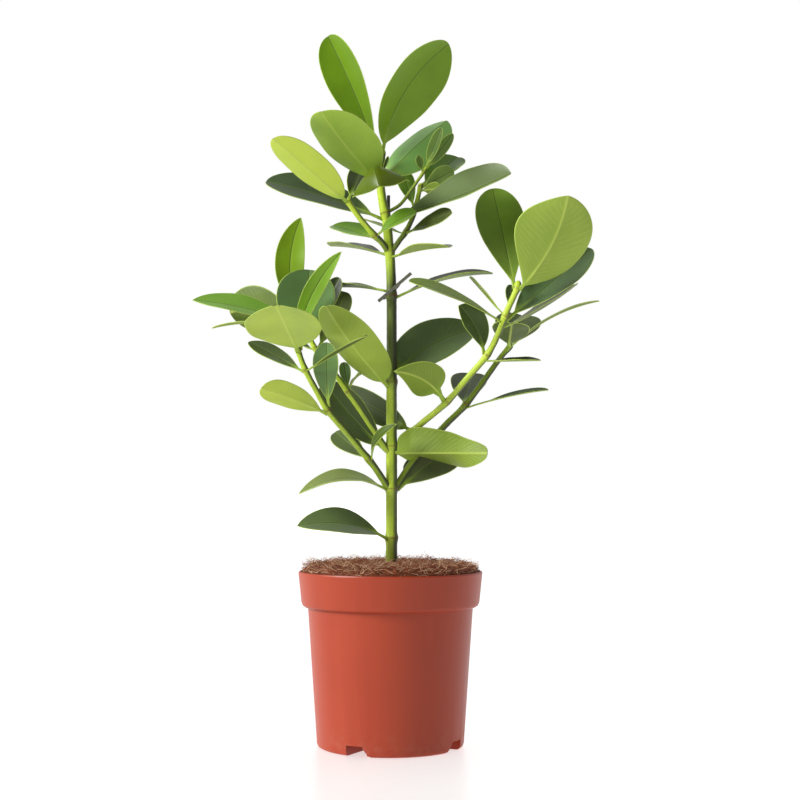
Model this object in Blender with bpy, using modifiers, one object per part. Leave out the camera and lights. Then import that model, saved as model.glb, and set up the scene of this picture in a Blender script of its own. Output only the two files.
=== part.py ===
"""Potted clusia: nursery pot, root ball, coir top, branching stems and thick obovate leaves.

Metres, +Z up, front towards -Y. The origin is the middle of the pot's flat underside.
Sizes and places are given in millimetres; MM turns them into metres.
"""
import math

import bmesh
import bpy
from mathutils import Matrix, Vector

MM = 0.001
MERGE = 0.01
SHARP_ANGLE = 40.0

# Pot
POT_HEIGHT = 161.0
RIM_RADIUS = 86.0
RIM_WALL = 2.0
RIM_EDGE = 0.5
BODY_FOOT_RADIUS = 68.4
BODY_TOP_RADIUS = 77.0
WALL = 1.8
FLOOR = 2.2
POT_SIDES = 52

# Drainage channels under the pot, each with a hole up into the pot
CHANNEL_TURNS = (-28.0, 62.0, 152.0, 242.0)
CHANNEL_WIDTH = 17.0
CHANNEL_HEIGHT = 9.6
CHANNEL_INNER_END = 30.0
CHANNEL_OUTER_END = 76.0
FOOT_CHAMFER = 7.0
FOOT_CHAMFER_HEIGHT = 9.0
FOOT_CHAMFER_START = 60.0
DRAIN_RADIUS = 4.0
DRAIN_SIDES = 16
DRAIN_POSITION = 44.0
CUT_DEPTH = 1.0

# Root ball and coir
GAP = 0.3
SOIL_TOP = 150.0
COIR_RADIUS = 82.9
COIR_CROWN = 169.5
COIR_LUMP = 0.9
COIR_LUMPS_ABOVE = 164.0
# Each wave on the coir: change along X, change along Y, start
COIR_WAVES = ((0.21, 0.13, 0), (-0.09, 0.27, 1))

# Outlines turned about Z, as (radius, height), from the top down their outer side
POT_OUTSIDE = [
    (0, POT_HEIGHT), (RIM_RADIUS - RIM_EDGE, POT_HEIGHT), (RIM_RADIUS, POT_HEIGHT - 1.2),
    (83.1, 132.8), (81.8, 129.8), (79.5, 128.3), (BODY_TOP_RADIUS, 128),
    (BODY_FOOT_RADIUS, 4), (67.4, 1.2), (65.2, 0), (0, 0)]
POT_INSIDE = [
    (0, POT_HEIGHT + 1), (RIM_RADIUS - RIM_WALL, POT_HEIGHT + 1),
    (RIM_RADIUS - RIM_WALL, POT_HEIGHT - 1), (81.2, 133), (80, 131),
    (BODY_TOP_RADIUS - WALL, 127), (66.6, 5), (64.8, FLOOR), (0, FLOOR)]
SOIL_OUTLINE = [
    (0, SOIL_TOP), (COIR_RADIUS - 0.9, SOIL_TOP), (80.5, 133), (79.2, 131.2), (74.8, 127.2),
    (66.2, 5.2), (64.4, FLOOR + GAP), (0, FLOOR + GAP)]
COIR_OUTLINE = [
    (0, COIR_CROWN), (15, COIR_CROWN), (32, 169), (48, 168.4), (62, 167.6), (72, 166.6),
    (79, 164.4), (82.4, 161.2), (COIR_RADIUS, 158.4), (COIR_RADIUS - 0.9, SOIL_TOP + GAP),
    (0, SOIL_TOP + GAP)]

# Support stake and tie
STAKE_RADIUS = 1.6
STAKE_SIDES = 12
STAKE_PLACE = (-2.1, 9.8)
STAKE_BOTTOM = 125.0
STAKE_TOP = 517.0
TRUNK_PLACE = (1.0, 0.0)
TRUNK_RADIUS = 5.7
HOLE_CLEARANCE = 0.45
HOLE_SIDES = 20
HOLE_BOTTOM = 119.0
HOLE_TOP = 200.0
TIE_LOW = (-11.4, -8.6, 413.3)
TIE_HIGH = (19.3, -8.6, 439.8)
TIE_BAR = 2.8
TIE_STRAP_RADIUS = 0.8
TIE_STRAP_SIDES = 6
TIE_STRAP_PATH = [(-9, -8.2), (9, -8.2), (10.6, -3), (9.4, 6), (4, 13.4), (-5, 14.4),
                  (-10, 9), (-11, -2)]

# Stems
NODE_SWELL = 0.2
NODE_REACH = 3.5
PATH_STEPS = 8
RING_STEP = 3.2
TRUNK_SIDES = 10
BRANCH_SIDES = 8
STEM_END_RISE = 0.6
STEM_END_SHARE = 0.5

# Leaves
PETIOLE_HALF = 1.8
PETIOLE_LEAST = 0.5
PETIOLE_SHARE = 0.04
PETIOLE_EDGE = 0.3
PETIOLE_FOOT_CROWN = 0.65
PETIOLE_END_CROWN = 0.6
LEAF_EDGE = 0.4
LEAF_KEEL = 1.2
LEAF_KEEL_FADE = 0.7
LEAF_FULL_FOLD = 0.3
LEAF_TWIST_FROM = 0.3
GROWN_STATIONS = (0.15, 0.36, 0.58, 0.78, 0.92, 0.99)
YOUNG_STATIONS = (0.2, 0.5, 0.8, 0.96)
GROWN_ACROSS = (-1, -0.5, 0, 0.5, 1)
YOUNG_ACROSS = (-1, 0, 1)
ROOT_DEPTH = 0.2
ROOT_ROUNDS = 4
ROOT_REACH = 2
ROUND_TIP = 0.5
POINTED_TIP = 0.8
LEAF_DEFAULTS = {"arch": 0.0, "sway": 0.0, "fold": 0.08, "cup": 0.06, "twist": 0.0,
                 "petiole": 0.1, "foot": 0.93, "point": ROUND_TIP, "seat": 0.0}

# Each stem: points along its middle, foot radius, tip radius, heights of its swollen nodes
STEMS = {
    "trunk": (
        [(1, 0, 120), (1, 0, 170), (1, 0, 209), (1, 0, 246), (1, 0, 283), (1, 0, 321),
         (1, 0, 368), (1, 0, 416), (0, 0, 449), (-2, 0, 473), (-4, 0, 492), (-7, 0, 506),
         (-9, 0, 520), (-10, 0, 535), (-9, 0, 549), (-9, 0, 561)],
        TRUNK_RADIUS, 3.6, (192, 238, 278, 338, 420, 462, 498, 530, 556)),
    "low_left": (
        [(1, 0, 233), (-12, -8, 254), (-21, -13, 266), (-39, -21, 288), (-57, -27, 309),
         (-68, -31, 328), (-78, -35, 347), (-84, -38, 363), (-88, -42, 375)],
        3.3, 2.4, (265, 310, 347, 365)),
    "mid_left": (
        [(1, 0, 268), (-14, -8, 290), (-26, -13, 308), (-40, -17, 328), (-49, -18, 341),
         (-61, -19, 356), (-70, -19, 368), (-76, -17, 380), (-84, -14, 393)],
        2.9, 2.2, (328, 368, 391)),
    "mid_right": (
        [(1, 0, 270), (14, 3, 286), (28, 0, 298), (53, -8, 319), (72, -13, 341),
         (90, -17, 362), (100, -20, 381), (108, -22, 402), (117, -23, 422), (119, -23, 431)],
        3.0, 2.9, (319, 362, 398, 424)),
    "low_right": (
        [(1, 0, 232), (18, 8, 259), (33, 14, 277), (53, 22, 299), (72, 30, 318),
         (90, 36, 342), (106, 42, 364), (118, 45, 378)],
        3.4, 2.6, (276, 318, 375)),
    "high_left": (
        [(-1, 0, 459), (-8, -7, 469), (-15, -12, 475), (-29, -16, 491), (-41, -19, 508)],
        2.5, 2.2, (475, 506)),
    "high_right": (
        [(-1, 0, 459), (8, -3, 471), (15, -2, 481), (22, 6, 498), (26, 10, 515), (29, 10, 529)],
        2.6, 2.2, (480, 506, 526)),
    "shoot": (
        [(-5, 0, 498), (9, 3, 507), (18, 4, 520), (28, 4, 535), (31, 4, 540)],
        1.7, 1.5, (535,)),
}

# Leaf tones, which pick a material
DARK = "dark"
GREEN = "green"
LIME = "lime"

# Each leaf: carrier stem, height where it starts, tip, width, facing of the upper side,
# then any of: arch, sway, fold, cup, twist, petiole, foot, point, seat (set in), tone
LEAVES = {
    "leaf_trunk_1_left": (
        "trunk", 190, (-85, -35, 204), 38, (-0.1, -0.9, 1), dict(arch=0.12, point=POINTED_TIP)),
    "leaf_trunk_2_left": (
        "trunk", 232, (-84, -30, 233), 34, (0, -0.35, 1), dict(arch=0.18, point=POINTED_TIP)),
    "leaf_trunk_2_right": ("trunk", 233, (80, 22, 280), 29, (0, -0.9, 1), dict(arch=0.02)),
    "leaf_trunk_3_left": ("trunk", 273, (-57, 15, 332), 44, (0.2, -1, 0.6), dict(arch=0.04)),
    "leaf_trunk_3_right": (
        "trunk", 271, (88, -52, 272), 44, (0, 0.7, 0.8),
        dict(fold=0.45, foot=0.45, twist=-55, petiole=0.1, tone=LIME)),
    "leaf_trunk_4_left": (
        "trunk", 333, (-61, -76, 393), 48, (0.22, 0.6, 0.78),
        dict(foot=0.7, petiole=0.08, tone=LIME)),
    "leaf_trunk_4_right": (
        "trunk", 341, (80, 28, 385), 52, (-0.08, -0.85, 0.55),
        dict(arch=0.02, foot=0.55, petiole=0.06, seat=0.8)),
    "leaf_trunk_5_left": ("trunk", 424, (-88, 34, 434), 36, (0, 0, 1), dict(arch=0.05)),
    "leaf_trunk_5_right": ("trunk", 413, (97, 10, 443), 34, (0, -0.25, 1), dict(arch=0.09)),
    "leaf_trunk_6_left": ("trunk", 459, (-59, 50, 475), 34, (0, 0, 1), dict(arch=0.03)),
    "leaf_trunk_6_right": ("trunk", 456, (54, -50, 458), 30, (0, 0, 1), dict(arch=0.03)),
    "leaf_trunk_7_left": ("trunk", 493, (-120, 12, 530), 42, (0, -0.9, 1), dict(arch=0.03)),
    "leaf_trunk_7_right": (
        "trunk", 491, (112, -30, 530), 42, (0, -0.9, 1), dict(arch=-0.02)),
    "leaf_trunk_8_left": (
        "trunk", 529, (-64, -62, 579), 66, (0.23, 0.47, 0.85),
        dict(foot=0.75, petiole=0.08, tone=GREEN)),
    "leaf_trunk_8_front": (
        "trunk", 528, (-6, -58, 527), 34, (0, 0, 1), dict(arch=0.08, fold=-0.45, cup=-0.15)),
    "leaf_trunk_8_right": (
        "trunk", 530, (55, 42, 597), 41, (-0.3, -1, 0.5), dict(arch=0.04, foot=0.8)),
    "leaf_trunk_9_left": (
        "trunk", 554, (-62, 16, 671), 44, (0.5, -1, 0.2), dict(sway=0.03, petiole=0.04)),
    "leaf_trunk_9_right": (
        "trunk", 554, (56, -40, 648), 51, (-0.4, -1, 0),
        dict(sway=-0.06, foot=0.85, petiole=0.08)),
    "leaf_low_left_1_right": (
        "low_left", 264, (6, -40, 300), 17, (-0.6, -0.25, 0.6), dict(arch=0.15)),
    "leaf_low_left_1_back": ("low_left", 264, (-54, 28, 290), 25, (0, -1, 0.5), dict()),
    "leaf_low_left_2_left": (
        "low_left", 308, (-116, -62, 328), 27, (0, 1, 0.6), dict(arch=0.05, tone=LIME)),
    "leaf_low_left_2_up": (
        "low_left", 312, (-64, -37, 368), 25, (-0.3, -1, 0), dict(arch=0.03)),
    "leaf_low_left_3_left": (
        "low_left", 345, (-133, -8, 375), 24, (0, -0.6, 0.9), dict(point=0.65)),
    "leaf_low_left_3_right": (
        "low_left", 346, (-20, -94, 372), 26, (-0.42, -0.1, 0.9), dict(arch=0.05)),
    "leaf_low_left_4_front": (
        "low_left", 363, (-95, -124, 394), 64, (0, 0.3, 1), dict(foot=0.8, tone=LIME)),
    "leaf_low_left_4_back": (
        "low_left", 364, (-75, -30, 440), 54, (0, -1, 0.1), dict(foot=0.8)),
    "leaf_low_left_5_up": (
        "low_left", 373, (-44, -62, 452), 24, (-0.8, -0.8, 0),
        dict(point=POINTED_TIP, foot=0.8, petiole=0.05)),
    "leaf_mid_left_2_back": ("mid_left", 366, (-44, 22, 426), 26, (0, -1, 0.5), dict()),
    "leaf_mid_left_3_right": ("mid_left", 380, (-48, -14, 435), 18, (0, -1, 0.5), dict()),
    "leaf_mid_left_4_left": (
        "mid_left", 391, (-183, -28, 412), 34, (0, -0.7, 1),
        dict(point=POINTED_TIP, arch=0.04, seat=0.7)),
    "leaf_mid_left_4_up": (
        "mid_left", 391, (-85, 0, 494), 30, (0, -1, 0), dict(point=POINTED_TIP, sway=-0.13)),
    "leaf_mid_left_4_back": (
        "mid_left", 391, (-153, 22, 417), 34, (0, 1, 0.35),
        dict(arch=0.04, petiole=0.16, tone=GREEN)),
    "leaf_mid_right_1_back": (
        "mid_right", 291, (-47, 58, 336), 40, (0.6, -0.8, 0),
        dict(fold=0.02, cup=0, petiole=0.14)),
    "leaf_mid_right_2_left": (
        "mid_right", 318, (15, -42, 352), 35, (0, 1, 0.6), dict(sway=0.04, tone=LIME)),
    "leaf_mid_right_3_up": ("mid_right", 361, (71, -26, 409), 25, (0, -1, 0.2), dict()),
    "leaf_mid_right_3_right": ("mid_right", 359, (138, -36, 357), 18, (0, -0.1, 1), dict()),
    "leaf_mid_right_4_left": (
        "mid_right", 392, (17, -62, 425), 23, (0, -0.7, 1), dict(arch=0.04)),
    "leaf_mid_right_4_right": (
        "mid_right", 394, (192, 12, 466), 44, (-0.3, -1, 0.7), dict(point=0.65)),
    "leaf_mid_right_4_under": (
        "mid_right", 388, (177, 26, 429), 22, (0, 0.8, 1), dict(arch=-0.03, tone=LIME)),
    "leaf_mid_right_5_front": (
        "mid_right", 423, (161, -62, 503), 77, (-0.15, 0.85, 0.5),
        dict(point=0.6, petiole=0.05, tone=LIME)),
    "leaf_mid_right_5_back": (
        "mid_right", 423, (98, 22, 526), 44, (0, -1, 0.3),
        dict(foot=1.1, point=0.4, petiole=0.05)),
    "leaf_low_right_2_back": ("low_right", 317, (80, 88, 352), 36, (0, -0.6, 1), dict()),
    "leaf_low_right_2_right": (
        "low_right", 316, (151, 24, 332), 16, (0, -0.3, 1), dict(arch=0.06, petiole=0.28)),
    "leaf_low_right_3_front": (
        "low_right", 374, (108, -4, 400), 46, (0, 0.3, 1), dict(petiole=0.15, tone=GREEN)),
    "leaf_low_right_3_back": ("low_right", 374, (123, 92, 416), 46, (0, -0.8, 1), dict()),
    "leaf_low_right_3_right": (
        "low_right", 371, (203, 44, 419), 20, (-0.4, 0, 0.9), dict(arch=0.08)),
    "leaf_high_left_1_left": ("high_left", 473, (-57, 22, 490), 20, (0, -0.6, 1), dict()),
    "leaf_high_left_1_right": (
        "high_left", 474, (24, -22, 494), 18, (0, -0.8, 1), dict(arch=0.05)),
    "leaf_high_left_2_right": (
        "high_left", 507, (-24, 24, 549), 28, (-0.5, -0.8, 0.3), dict(seat=0.9)),
    "leaf_high_left_2_left": (
        "high_left", 506, (-105, -76, 552), 36, (0.14, 0.6, 0.79),
        dict(foot=0.75, petiole=0.06, tone=LIME)),
    "leaf_high_right_1_right": ("high_right", 479, (57, -30, 493), 22, (0, -1, 0.8), dict()),
    "leaf_high_right_3_back": (
        "high_right", 527, (66, 52, 563), 34, (-0.3, -1, 0.6), dict(seat=1.3)),
    "leaf_high_right_3_right": ("high_right", 525, (60, 8, 541), 20, (0, -1, 0.5), dict()),
}

# Young and hidden leaves that are one piece with their stem
YOUNG = {
    "high_right_1_back": ("high_right", 478, (-25, 52, 501), 14, (0, 0.2, 1), dict()),
    "high_right_2_up": ("high_right", 507, (17, 30, 547), 20, (0, -1, 0.3), dict()),
    "high_right_3_low": ("high_right", 522, (48, 2, 522), 14, (0, 1, 0.5), dict()),
    "shoot_tip_left": ("shoot", 538, (48, -8, 578), 12, (-0.5, -1, 0), dict(foot=0.6)),
    "shoot_tip_right": ("shoot", 537, (59, -2, 574), 12, (0.5, -1, 0), dict(foot=0.6)),
    "shoot_tip_low": ("shoot", 534, (24, -6, 551), 7, (0, -1, 0), dict()),
    "trunk_8_bud": ("trunk", 536, (-2, -8, 551), 4, (0, -1, 0), dict()),
    "mid_left_1_up": ("mid_left", 329, (-44, -8, 355), 14, (0, -1, 0.3), dict()),
    "mid_left_1_right": ("mid_left", 328, (-16, 6, 349), 16, (-0.6, 0, 0.7), dict(arch=0.15)),
    "mid_left_2_left": ("mid_left", 367, (-101, 6, 381), 14, (0, -0.2, 1), dict()),
    "mid_left_4_far": ("mid_left", 386, (-172, 30, 389), 20, (0, 0, 1), dict()),
    "mid_right_4_up": ("mid_right", 399, (75, 6, 438), 14, (0.7, 0, 0.6), dict()),
    "mid_right_5_low": ("mid_right", 407, (110, -8, 430), 12, (0, -1, 0.2), dict()),
    "low_right_1_down": ("low_right", 275, (14, 24, 252), 14, (-0.5, -1, 0.3), dict()),
}


def make_material(name, colour, roughness):
    material = bpy.data.materials.new(name)
    material.use_nodes = True
    shader = material.node_tree.nodes["Principled BSDF"]
    shader.inputs["Base Color"].default_value = (*colour, 1.0)
    shader.inputs["Roughness"].default_value = roughness
    return material


def add_object(name, bm, collection, material=None):
    """Turns a closed bmesh into a named object with its faces pointing out."""
    bmesh.ops.recalc_face_normals(bm, faces=bm.faces)
    mesh = bpy.data.meshes.new(name)
    bm.to_mesh(mesh)
    bm.free()
    if material:
        mesh.materials.append(material)
    obj = bpy.data.objects.new(name, mesh)
    collection.objects.link(obj)
    return obj


def make_plain(obj):
    """Replaces an object by a plain closed mesh of what it evaluates to."""
    graph = bpy.context.evaluated_depsgraph_get()
    mesh = bpy.data.meshes.new_from_object(obj.evaluated_get(graph))
    bm = bmesh.new()
    bm.from_mesh(mesh)
    bmesh.ops.remove_doubles(bm, verts=bm.verts, dist=MERGE * MM)
    collection = obj.users_collection[0]
    name = obj.name
    material = mesh.materials[0] if mesh.materials else None
    bpy.data.objects.remove(obj)
    bpy.data.meshes.remove(mesh)
    return add_object(name, bm, collection, material)


def turned(name, outline, collection, material=None):
    """Turns an outline of (radius, height) about Z with a Screw modifier."""
    mesh = bpy.data.meshes.new(name)
    points = [(radius * MM, 0, height * MM) for radius, height in outline]
    mesh.from_pydata(points, [(i, i + 1) for i in range(len(points) - 1)], [])
    if material:
        mesh.materials.append(material)
    obj = bpy.data.objects.new(name, mesh)
    collection.objects.link(obj)
    screw = obj.modifiers.new("turn", "SCREW")
    screw.steps = POT_SIDES
    screw.render_steps = POT_SIDES
    screw.use_merge_vertices = True
    screw.merge_threshold = MERGE * MM
    return make_plain(obj)


def tube(name, points, radii, sides, collection, material, loop=False):
    """Runs a round tube of changing radius through points."""
    curve = bpy.data.curves.new(name, "CURVE")
    curve.dimensions = "3D"
    curve.bevel_depth = MM
    curve.bevel_resolution = sides // 2 - 2
    curve.use_fill_caps = not loop
    spline = curve.splines.new("POLY")
    spline.points.add(len(points) - 1)
    spline.use_cyclic_u = loop
    for spot, point, radius in zip(spline.points, points, radii):
        spot.co = (*(point * MM), 1)
        spot.radius = radius
    curve.materials.append(material)
    obj = bpy.data.objects.new(name, curve)
    collection.objects.link(obj)
    return make_plain(obj)


def cylinder(name, place, radius, bottom, top, sides, collection, material=None):
    bm = bmesh.new()
    middle = Matrix.Translation(Vector((*place, (bottom + top) / 2)) * MM)
    bmesh.ops.create_cone(
        bm, cap_ends=True, segments=sides, radius1=radius * MM, radius2=radius * MM,
        depth=(top - bottom) * MM, matrix=middle)
    return add_object(name, bm, collection, material)


def radial_box(name, turn, near, far, half, bottom, top, collection):
    """A box that runs outwards from the middle of the pot, turned from its front."""
    bm = bmesh.new()
    size = Matrix.Diagonal((2 * half * MM, (far - near) * MM, (top - bottom) * MM, 1))
    place = Matrix.Translation(Vector((0, -(near + far) / 2, (bottom + top) / 2)) * MM)
    spin = Matrix.Rotation(math.radians(turn), 4, "Z")
    bmesh.ops.create_cube(bm, size=1, matrix=spin @ place @ size)
    return add_object(name, bm, collection)


def radial_wedge(name, turn, outline, near, far, collection):
    """Runs an (across, height) outline outwards from the middle of the pot."""
    bm = bmesh.new()
    face = bm.faces.new([bm.verts.new((a * MM, -near * MM, z * MM)) for a, z in outline])
    run = bmesh.ops.extrude_face_region(bm, geom=[face], use_keep_orig=True)
    moved = [item for item in run["geom"] if isinstance(item, bmesh.types.BMVert)]
    bmesh.ops.translate(bm, verts=moved, vec=(0, (near - far) * MM, 0))
    bmesh.ops.rotate(
        bm, verts=bm.verts, cent=(0, 0, 0), matrix=Matrix.Rotation(math.radians(turn), 3, "Z"))
    return add_object(name, bm, collection)


def combine(target, tool, operation):
    """Applies one Boolean to target and removes the tool."""
    modifier = target.modifiers.new("combine", "BOOLEAN")
    modifier.operation = operation
    modifier.solver = "EXACT"
    modifier.object = tool
    graph = bpy.context.evaluated_depsgraph_get()
    mesh = bpy.data.meshes.new_from_object(target.evaluated_get(graph))
    target.modifiers.clear()
    old = target.data
    target.data = mesh
    mesh.name = target.name
    bpy.data.meshes.remove(old)
    bpy.data.objects.remove(tool)


def smooth_path(points):
    """Rounds a row of points with a Catmull-Rom curve."""
    pts = [Vector(p) for p in points]
    pts = [pts[0] * 2 - pts[1]] + pts + [pts[-1] * 2 - pts[-2]]
    path = []
    for a, b, c, d in zip(pts, pts[1:], pts[2:], pts[3:]):
        for i in range(PATH_STEPS):
            t = i / PATH_STEPS
            path.append(0.5 * (
                2 * b + (c - a) * t + (2 * a - 5 * b + 4 * c - d) * t ** 2
                + (3 * b - a - 3 * c + d) * t ** 3))
    path.append(pts[-2])
    return path


def point_on_stem(stem, height):
    """Finds the middle, direction and radius of a stem at a height."""
    points, foot, tip, nodes = STEMS[stem]
    path = smooth_path(points)
    for index, (low, high) in enumerate(zip(path, path[1:])):
        if height <= high.z:
            break
    share = min(max((height - low.z) / (high.z - low.z), 0), 1)
    swell = max(math.exp(-((height - node) / NODE_REACH) ** 2) for node in nodes)
    radius = foot + (tip - foot) * (index + share) / (len(path) - 1)
    return low.lerp(high, share), (high - low).normalized(), radius * (1 + NODE_SWELL * swell)


def ring_heights(stem):
    """Lists the heights of the rings of a stem: its bends and its swollen nodes."""
    points, _, _, nodes = STEMS[stem]
    bottom = points[0][2]
    top = points[-1][2]
    wanted = [bottom, top] + [p[2] for p in points[1:-1]]
    for node in nodes:
        wanted += [node - NODE_REACH, node, node + NODE_REACH]
    heights = []
    for height in sorted(wanted):
        if bottom <= height <= top and (not heights or height - heights[-1] > RING_STEP):
            heights.append(height)
    return heights


def build_stem(stem, sides, collection, material):
    points = []
    radii = []
    for height in ring_heights(stem):
        middle, along, radius = point_on_stem(stem, height)
        points.append(middle)
        radii.append(radius)
    points.append(middle + along * radius * STEM_END_RISE)
    radii.append(radius * STEM_END_SHARE)
    return tube(stem, points, radii, sides, collection, material)


def leaf_curve(root, tip, face, arch, sway):
    """Gives a function for the point and axes of a leaf at a share of its length."""
    chord = tip - root
    along = chord.normalized()
    up = Vector(face)
    up = (up - along * up.dot(along)).normalized()
    bend = (up * arch + along.cross(up) * sway) * chord.length

    def frame(t):
        point = root + chord * t + bend * (4 * t * (1 - t))
        tangent = (chord + bend * (4 - 8 * t)).normalized()
        normal = (up - tangent * up.dot(tangent)).normalized()
        return point, tangent, tangent.cross(normal), normal
    return frame


def half_width(share, width, foot, point):
    """Obovate outline: foot and point say how fast it narrows at its two ends."""
    peak = foot / (foot + point)
    return width / 2 * (share / peak) ** foot * ((1 - share) / (1 - peak)) ** point


def leaf_options(row):
    """Adds what a leaf leaves at its default."""
    stalk = min(PETIOLE_HALF, PETIOLE_LEAST + row[3] * PETIOLE_SHARE)
    options = dict(LEAF_DEFAULTS, stalk=stalk)
    options.update(row[5])
    return options


def leaf_root(row, options, sunk):
    """Places the foot of a leaf on its stem: just clear of it, or sunk into it."""
    stem, height, tip, _, face, _ = row
    middle, direction, radius = point_on_stem(stem, height)
    for near in (height - ROOT_REACH, height + ROOT_REACH):
        radius = max(radius, point_on_stem(stem, near)[2])
    root = middle
    for _ in range(ROOT_ROUNDS):
        frame = leaf_curve(root, Vector(tip), face, options["arch"], options["sway"])
        tangent = frame(0)[1]
        lean = tangent.dot(direction)
        outward = (tangent - direction * lean).normalized()
        if sunk:
            root = middle + outward * radius * ROOT_DEPTH
        else:
            clear = radius + GAP + options["stalk"] * abs(lean) - options["seat"]
            root = middle + outward * clear
    return root


def leaf_rings(row, stations, across, sunk):
    """Builds the cross sections of one leaf from its foot to its tip."""
    _, _, tip, width, face, _ = row
    options = leaf_options(row)
    root = leaf_root(row, options, sunk)
    frame = leaf_curve(root, Vector(tip), face, options["arch"], options["sway"])
    start = options["petiole"]
    stalk = options["stalk"]
    sections = [(0, stalk, stalk * PETIOLE_EDGE, stalk * PETIOLE_FOOT_CROWN),
                (start, stalk, stalk * PETIOLE_EDGE, stalk * PETIOLE_END_CROWN)]
    for share in stations:
        half = max(half_width(share, width, options["foot"], options["point"]), stalk)
        sections.append((start + (1 - start) * share, half, LEAF_EDGE, 0))
    rings = []
    for t, half, edge, crown in sections:
        point, _, side, normal = frame(t)
        turn = math.radians(options["twist"]) * (t - LEAF_TWIST_FROM)
        side, normal = (side * math.cos(turn) + normal * math.sin(turn),
                        normal * math.cos(turn) - side * math.sin(turn))
        keel = crown if crown else LEAF_KEEL * (1 - LEAF_KEEL_FADE * t)
        spread = min(1, t / LEAF_FULL_FOLD)
        top = []
        under = []
        for q in across:
            rise = half * spread * (options["fold"] * abs(q) + options["cup"] * q * q)
            middle = point + side * (q * half) + normal * rise
            top.append(middle + normal * (edge + crown * (1 - abs(q))))
            under.append(middle - normal * (edge + keel * (1 - abs(q))))
        rings.append(top + under[::-1])
    return rings


def leaf_skin(rings):
    """Joins leaf sections, with the same diagonals on the upper and under faces."""
    bm = bmesh.new()
    rows = [[bm.verts.new(point * MM) for point in ring] for ring in rings]
    count = len(rows[0])
    for lower, upper in zip(rows, rows[1:]):
        for i in range(count):
            j = (i + 1) % count
            if i < count // 2:
                bm.faces.new((lower[i], lower[j], upper[j]))
                bm.faces.new((lower[i], upper[j], upper[i]))
            else:
                bm.faces.new((lower[i], lower[j], upper[i]))
                bm.faces.new((lower[j], upper[j], upper[i]))
    bm.faces.new(tuple(reversed(rows[0])))
    bm.faces.new(tuple(rows[-1]))
    return bm


def channel_humps(grow, cutters):
    """Boxes that keep the floor above each channel as thick as the rest."""
    top = CHANNEL_HEIGHT + FLOOR + grow
    half = CHANNEL_WIDTH / 2 + FLOOR + grow
    humps = []
    for turn in CHANNEL_TURNS:
        humps.append(radial_box(
            "hump", turn, CHANNEL_INNER_END - FLOOR - grow, FOOT_CHAMFER_START, half,
            0, top, cutters))
        humps.append(radial_box(
            "hump", turn, FOOT_CHAMFER_START - FLOOR - grow, CHANNEL_OUTER_END + grow,
            half + FOOT_CHAMFER, 0, top, cutters))
    return humps


def build_pot(parts, cutters, material):
    """Makes the pot as one shell with four drainage channels under it."""
    pot = turned("pot", POT_OUTSIDE, parts, material)
    cavity = turned("cavity", POT_INSIDE, cutters)
    for hump in channel_humps(0, cutters):
        combine(cavity, hump, "DIFFERENCE")
    combine(pot, cavity, "DIFFERENCE")
    half = CHANNEL_WIDTH / 2
    for index, turn in enumerate(CHANNEL_TURNS):
        channel = radial_box(
            "channel", turn, CHANNEL_INNER_END, RIM_RADIUS, half, -CUT_DEPTH, CHANNEL_HEIGHT,
            cutters)
        combine(pot, channel, "DIFFERENCE")
        mirror = 1 if index % 2 == 0 else -1
        inner = mirror * (half - CUT_DEPTH)
        outer = mirror * (half + FOOT_CHAMFER)
        outline = [(inner, -CUT_DEPTH), (outer, -CUT_DEPTH), (inner, FOOT_CHAMFER_HEIGHT)]
        wedge = radial_wedge("wedge", turn, outline, FOOT_CHAMFER_START, RIM_RADIUS, cutters)
        combine(pot, wedge, "DIFFERENCE")
        angle = math.radians(turn)
        place = (math.sin(angle) * DRAIN_POSITION, -math.cos(angle) * DRAIN_POSITION)
        drain = cylinder(
            "drain", place, DRAIN_RADIUS, CHANNEL_HEIGHT - CUT_DEPTH,
            CHANNEL_HEIGHT + FLOOR + CUT_DEPTH, DRAIN_SIDES, cutters)
        combine(pot, drain, "DIFFERENCE")


def build_filling(parts, cutters, soil_material, coir_material):
    """Makes the root ball and the coir on it, with plain holes for trunk and stake."""
    soil = turned("root_ball", SOIL_OUTLINE, parts, soil_material)
    for hump in channel_humps(GAP, cutters):
        combine(soil, hump, "DIFFERENCE")
    coir = turned("coir_top", COIR_OUTLINE, parts, coir_material)
    for vert in coir.data.vertices:
        if vert.co.z > COIR_LUMPS_ABOVE * MM:
            x = vert.co.x / MM
            y = vert.co.y / MM
            wave = sum(math.sin(x * p + y * q + start) for p, q, start in COIR_WAVES)
            vert.co.z += COIR_LUMP * wave * MM
    for body in (soil, coir):
        for place, radius in ((TRUNK_PLACE, TRUNK_RADIUS), (STAKE_PLACE, STAKE_RADIUS)):
            hole = cylinder(
                "hole", place, radius + HOLE_CLEARANCE, HOLE_BOTTOM, HOLE_TOP, HOLE_SIDES,
                cutters)
            combine(body, hole, "DIFFERENCE")


def build_tie(parts, material):
    """A square bar across the trunk with a strap round trunk and stake."""
    low = Vector(TIE_LOW)
    high = Vector(TIE_HIGH)
    along = (high - low).normalized()
    middle = (low + high) / 2
    back = Vector((0, 1, 0))
    turn = along.to_track_quat("X", "Z").to_matrix().to_4x4()
    size = Matrix.Diagonal(((high - low).length * MM, TIE_BAR * MM, TIE_BAR * MM, 1))
    bm = bmesh.new()
    bmesh.ops.create_cube(bm, size=1, matrix=Matrix.Translation(middle * MM) @ turn @ size)
    bar = add_object("plant_tie", bm, parts, material)
    centre = middle + along * ((TRUNK_PLACE[0] - middle.x) / along.x)
    points = [centre + along * a + back * (b - centre.y) for a, b in TIE_STRAP_PATH]
    radii = [TIE_STRAP_RADIUS] * len(points)
    strap = tube("strap", points, radii, TIE_STRAP_SIDES, parts, material, loop=True)
    combine(bar, strap, "UNION")


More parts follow.
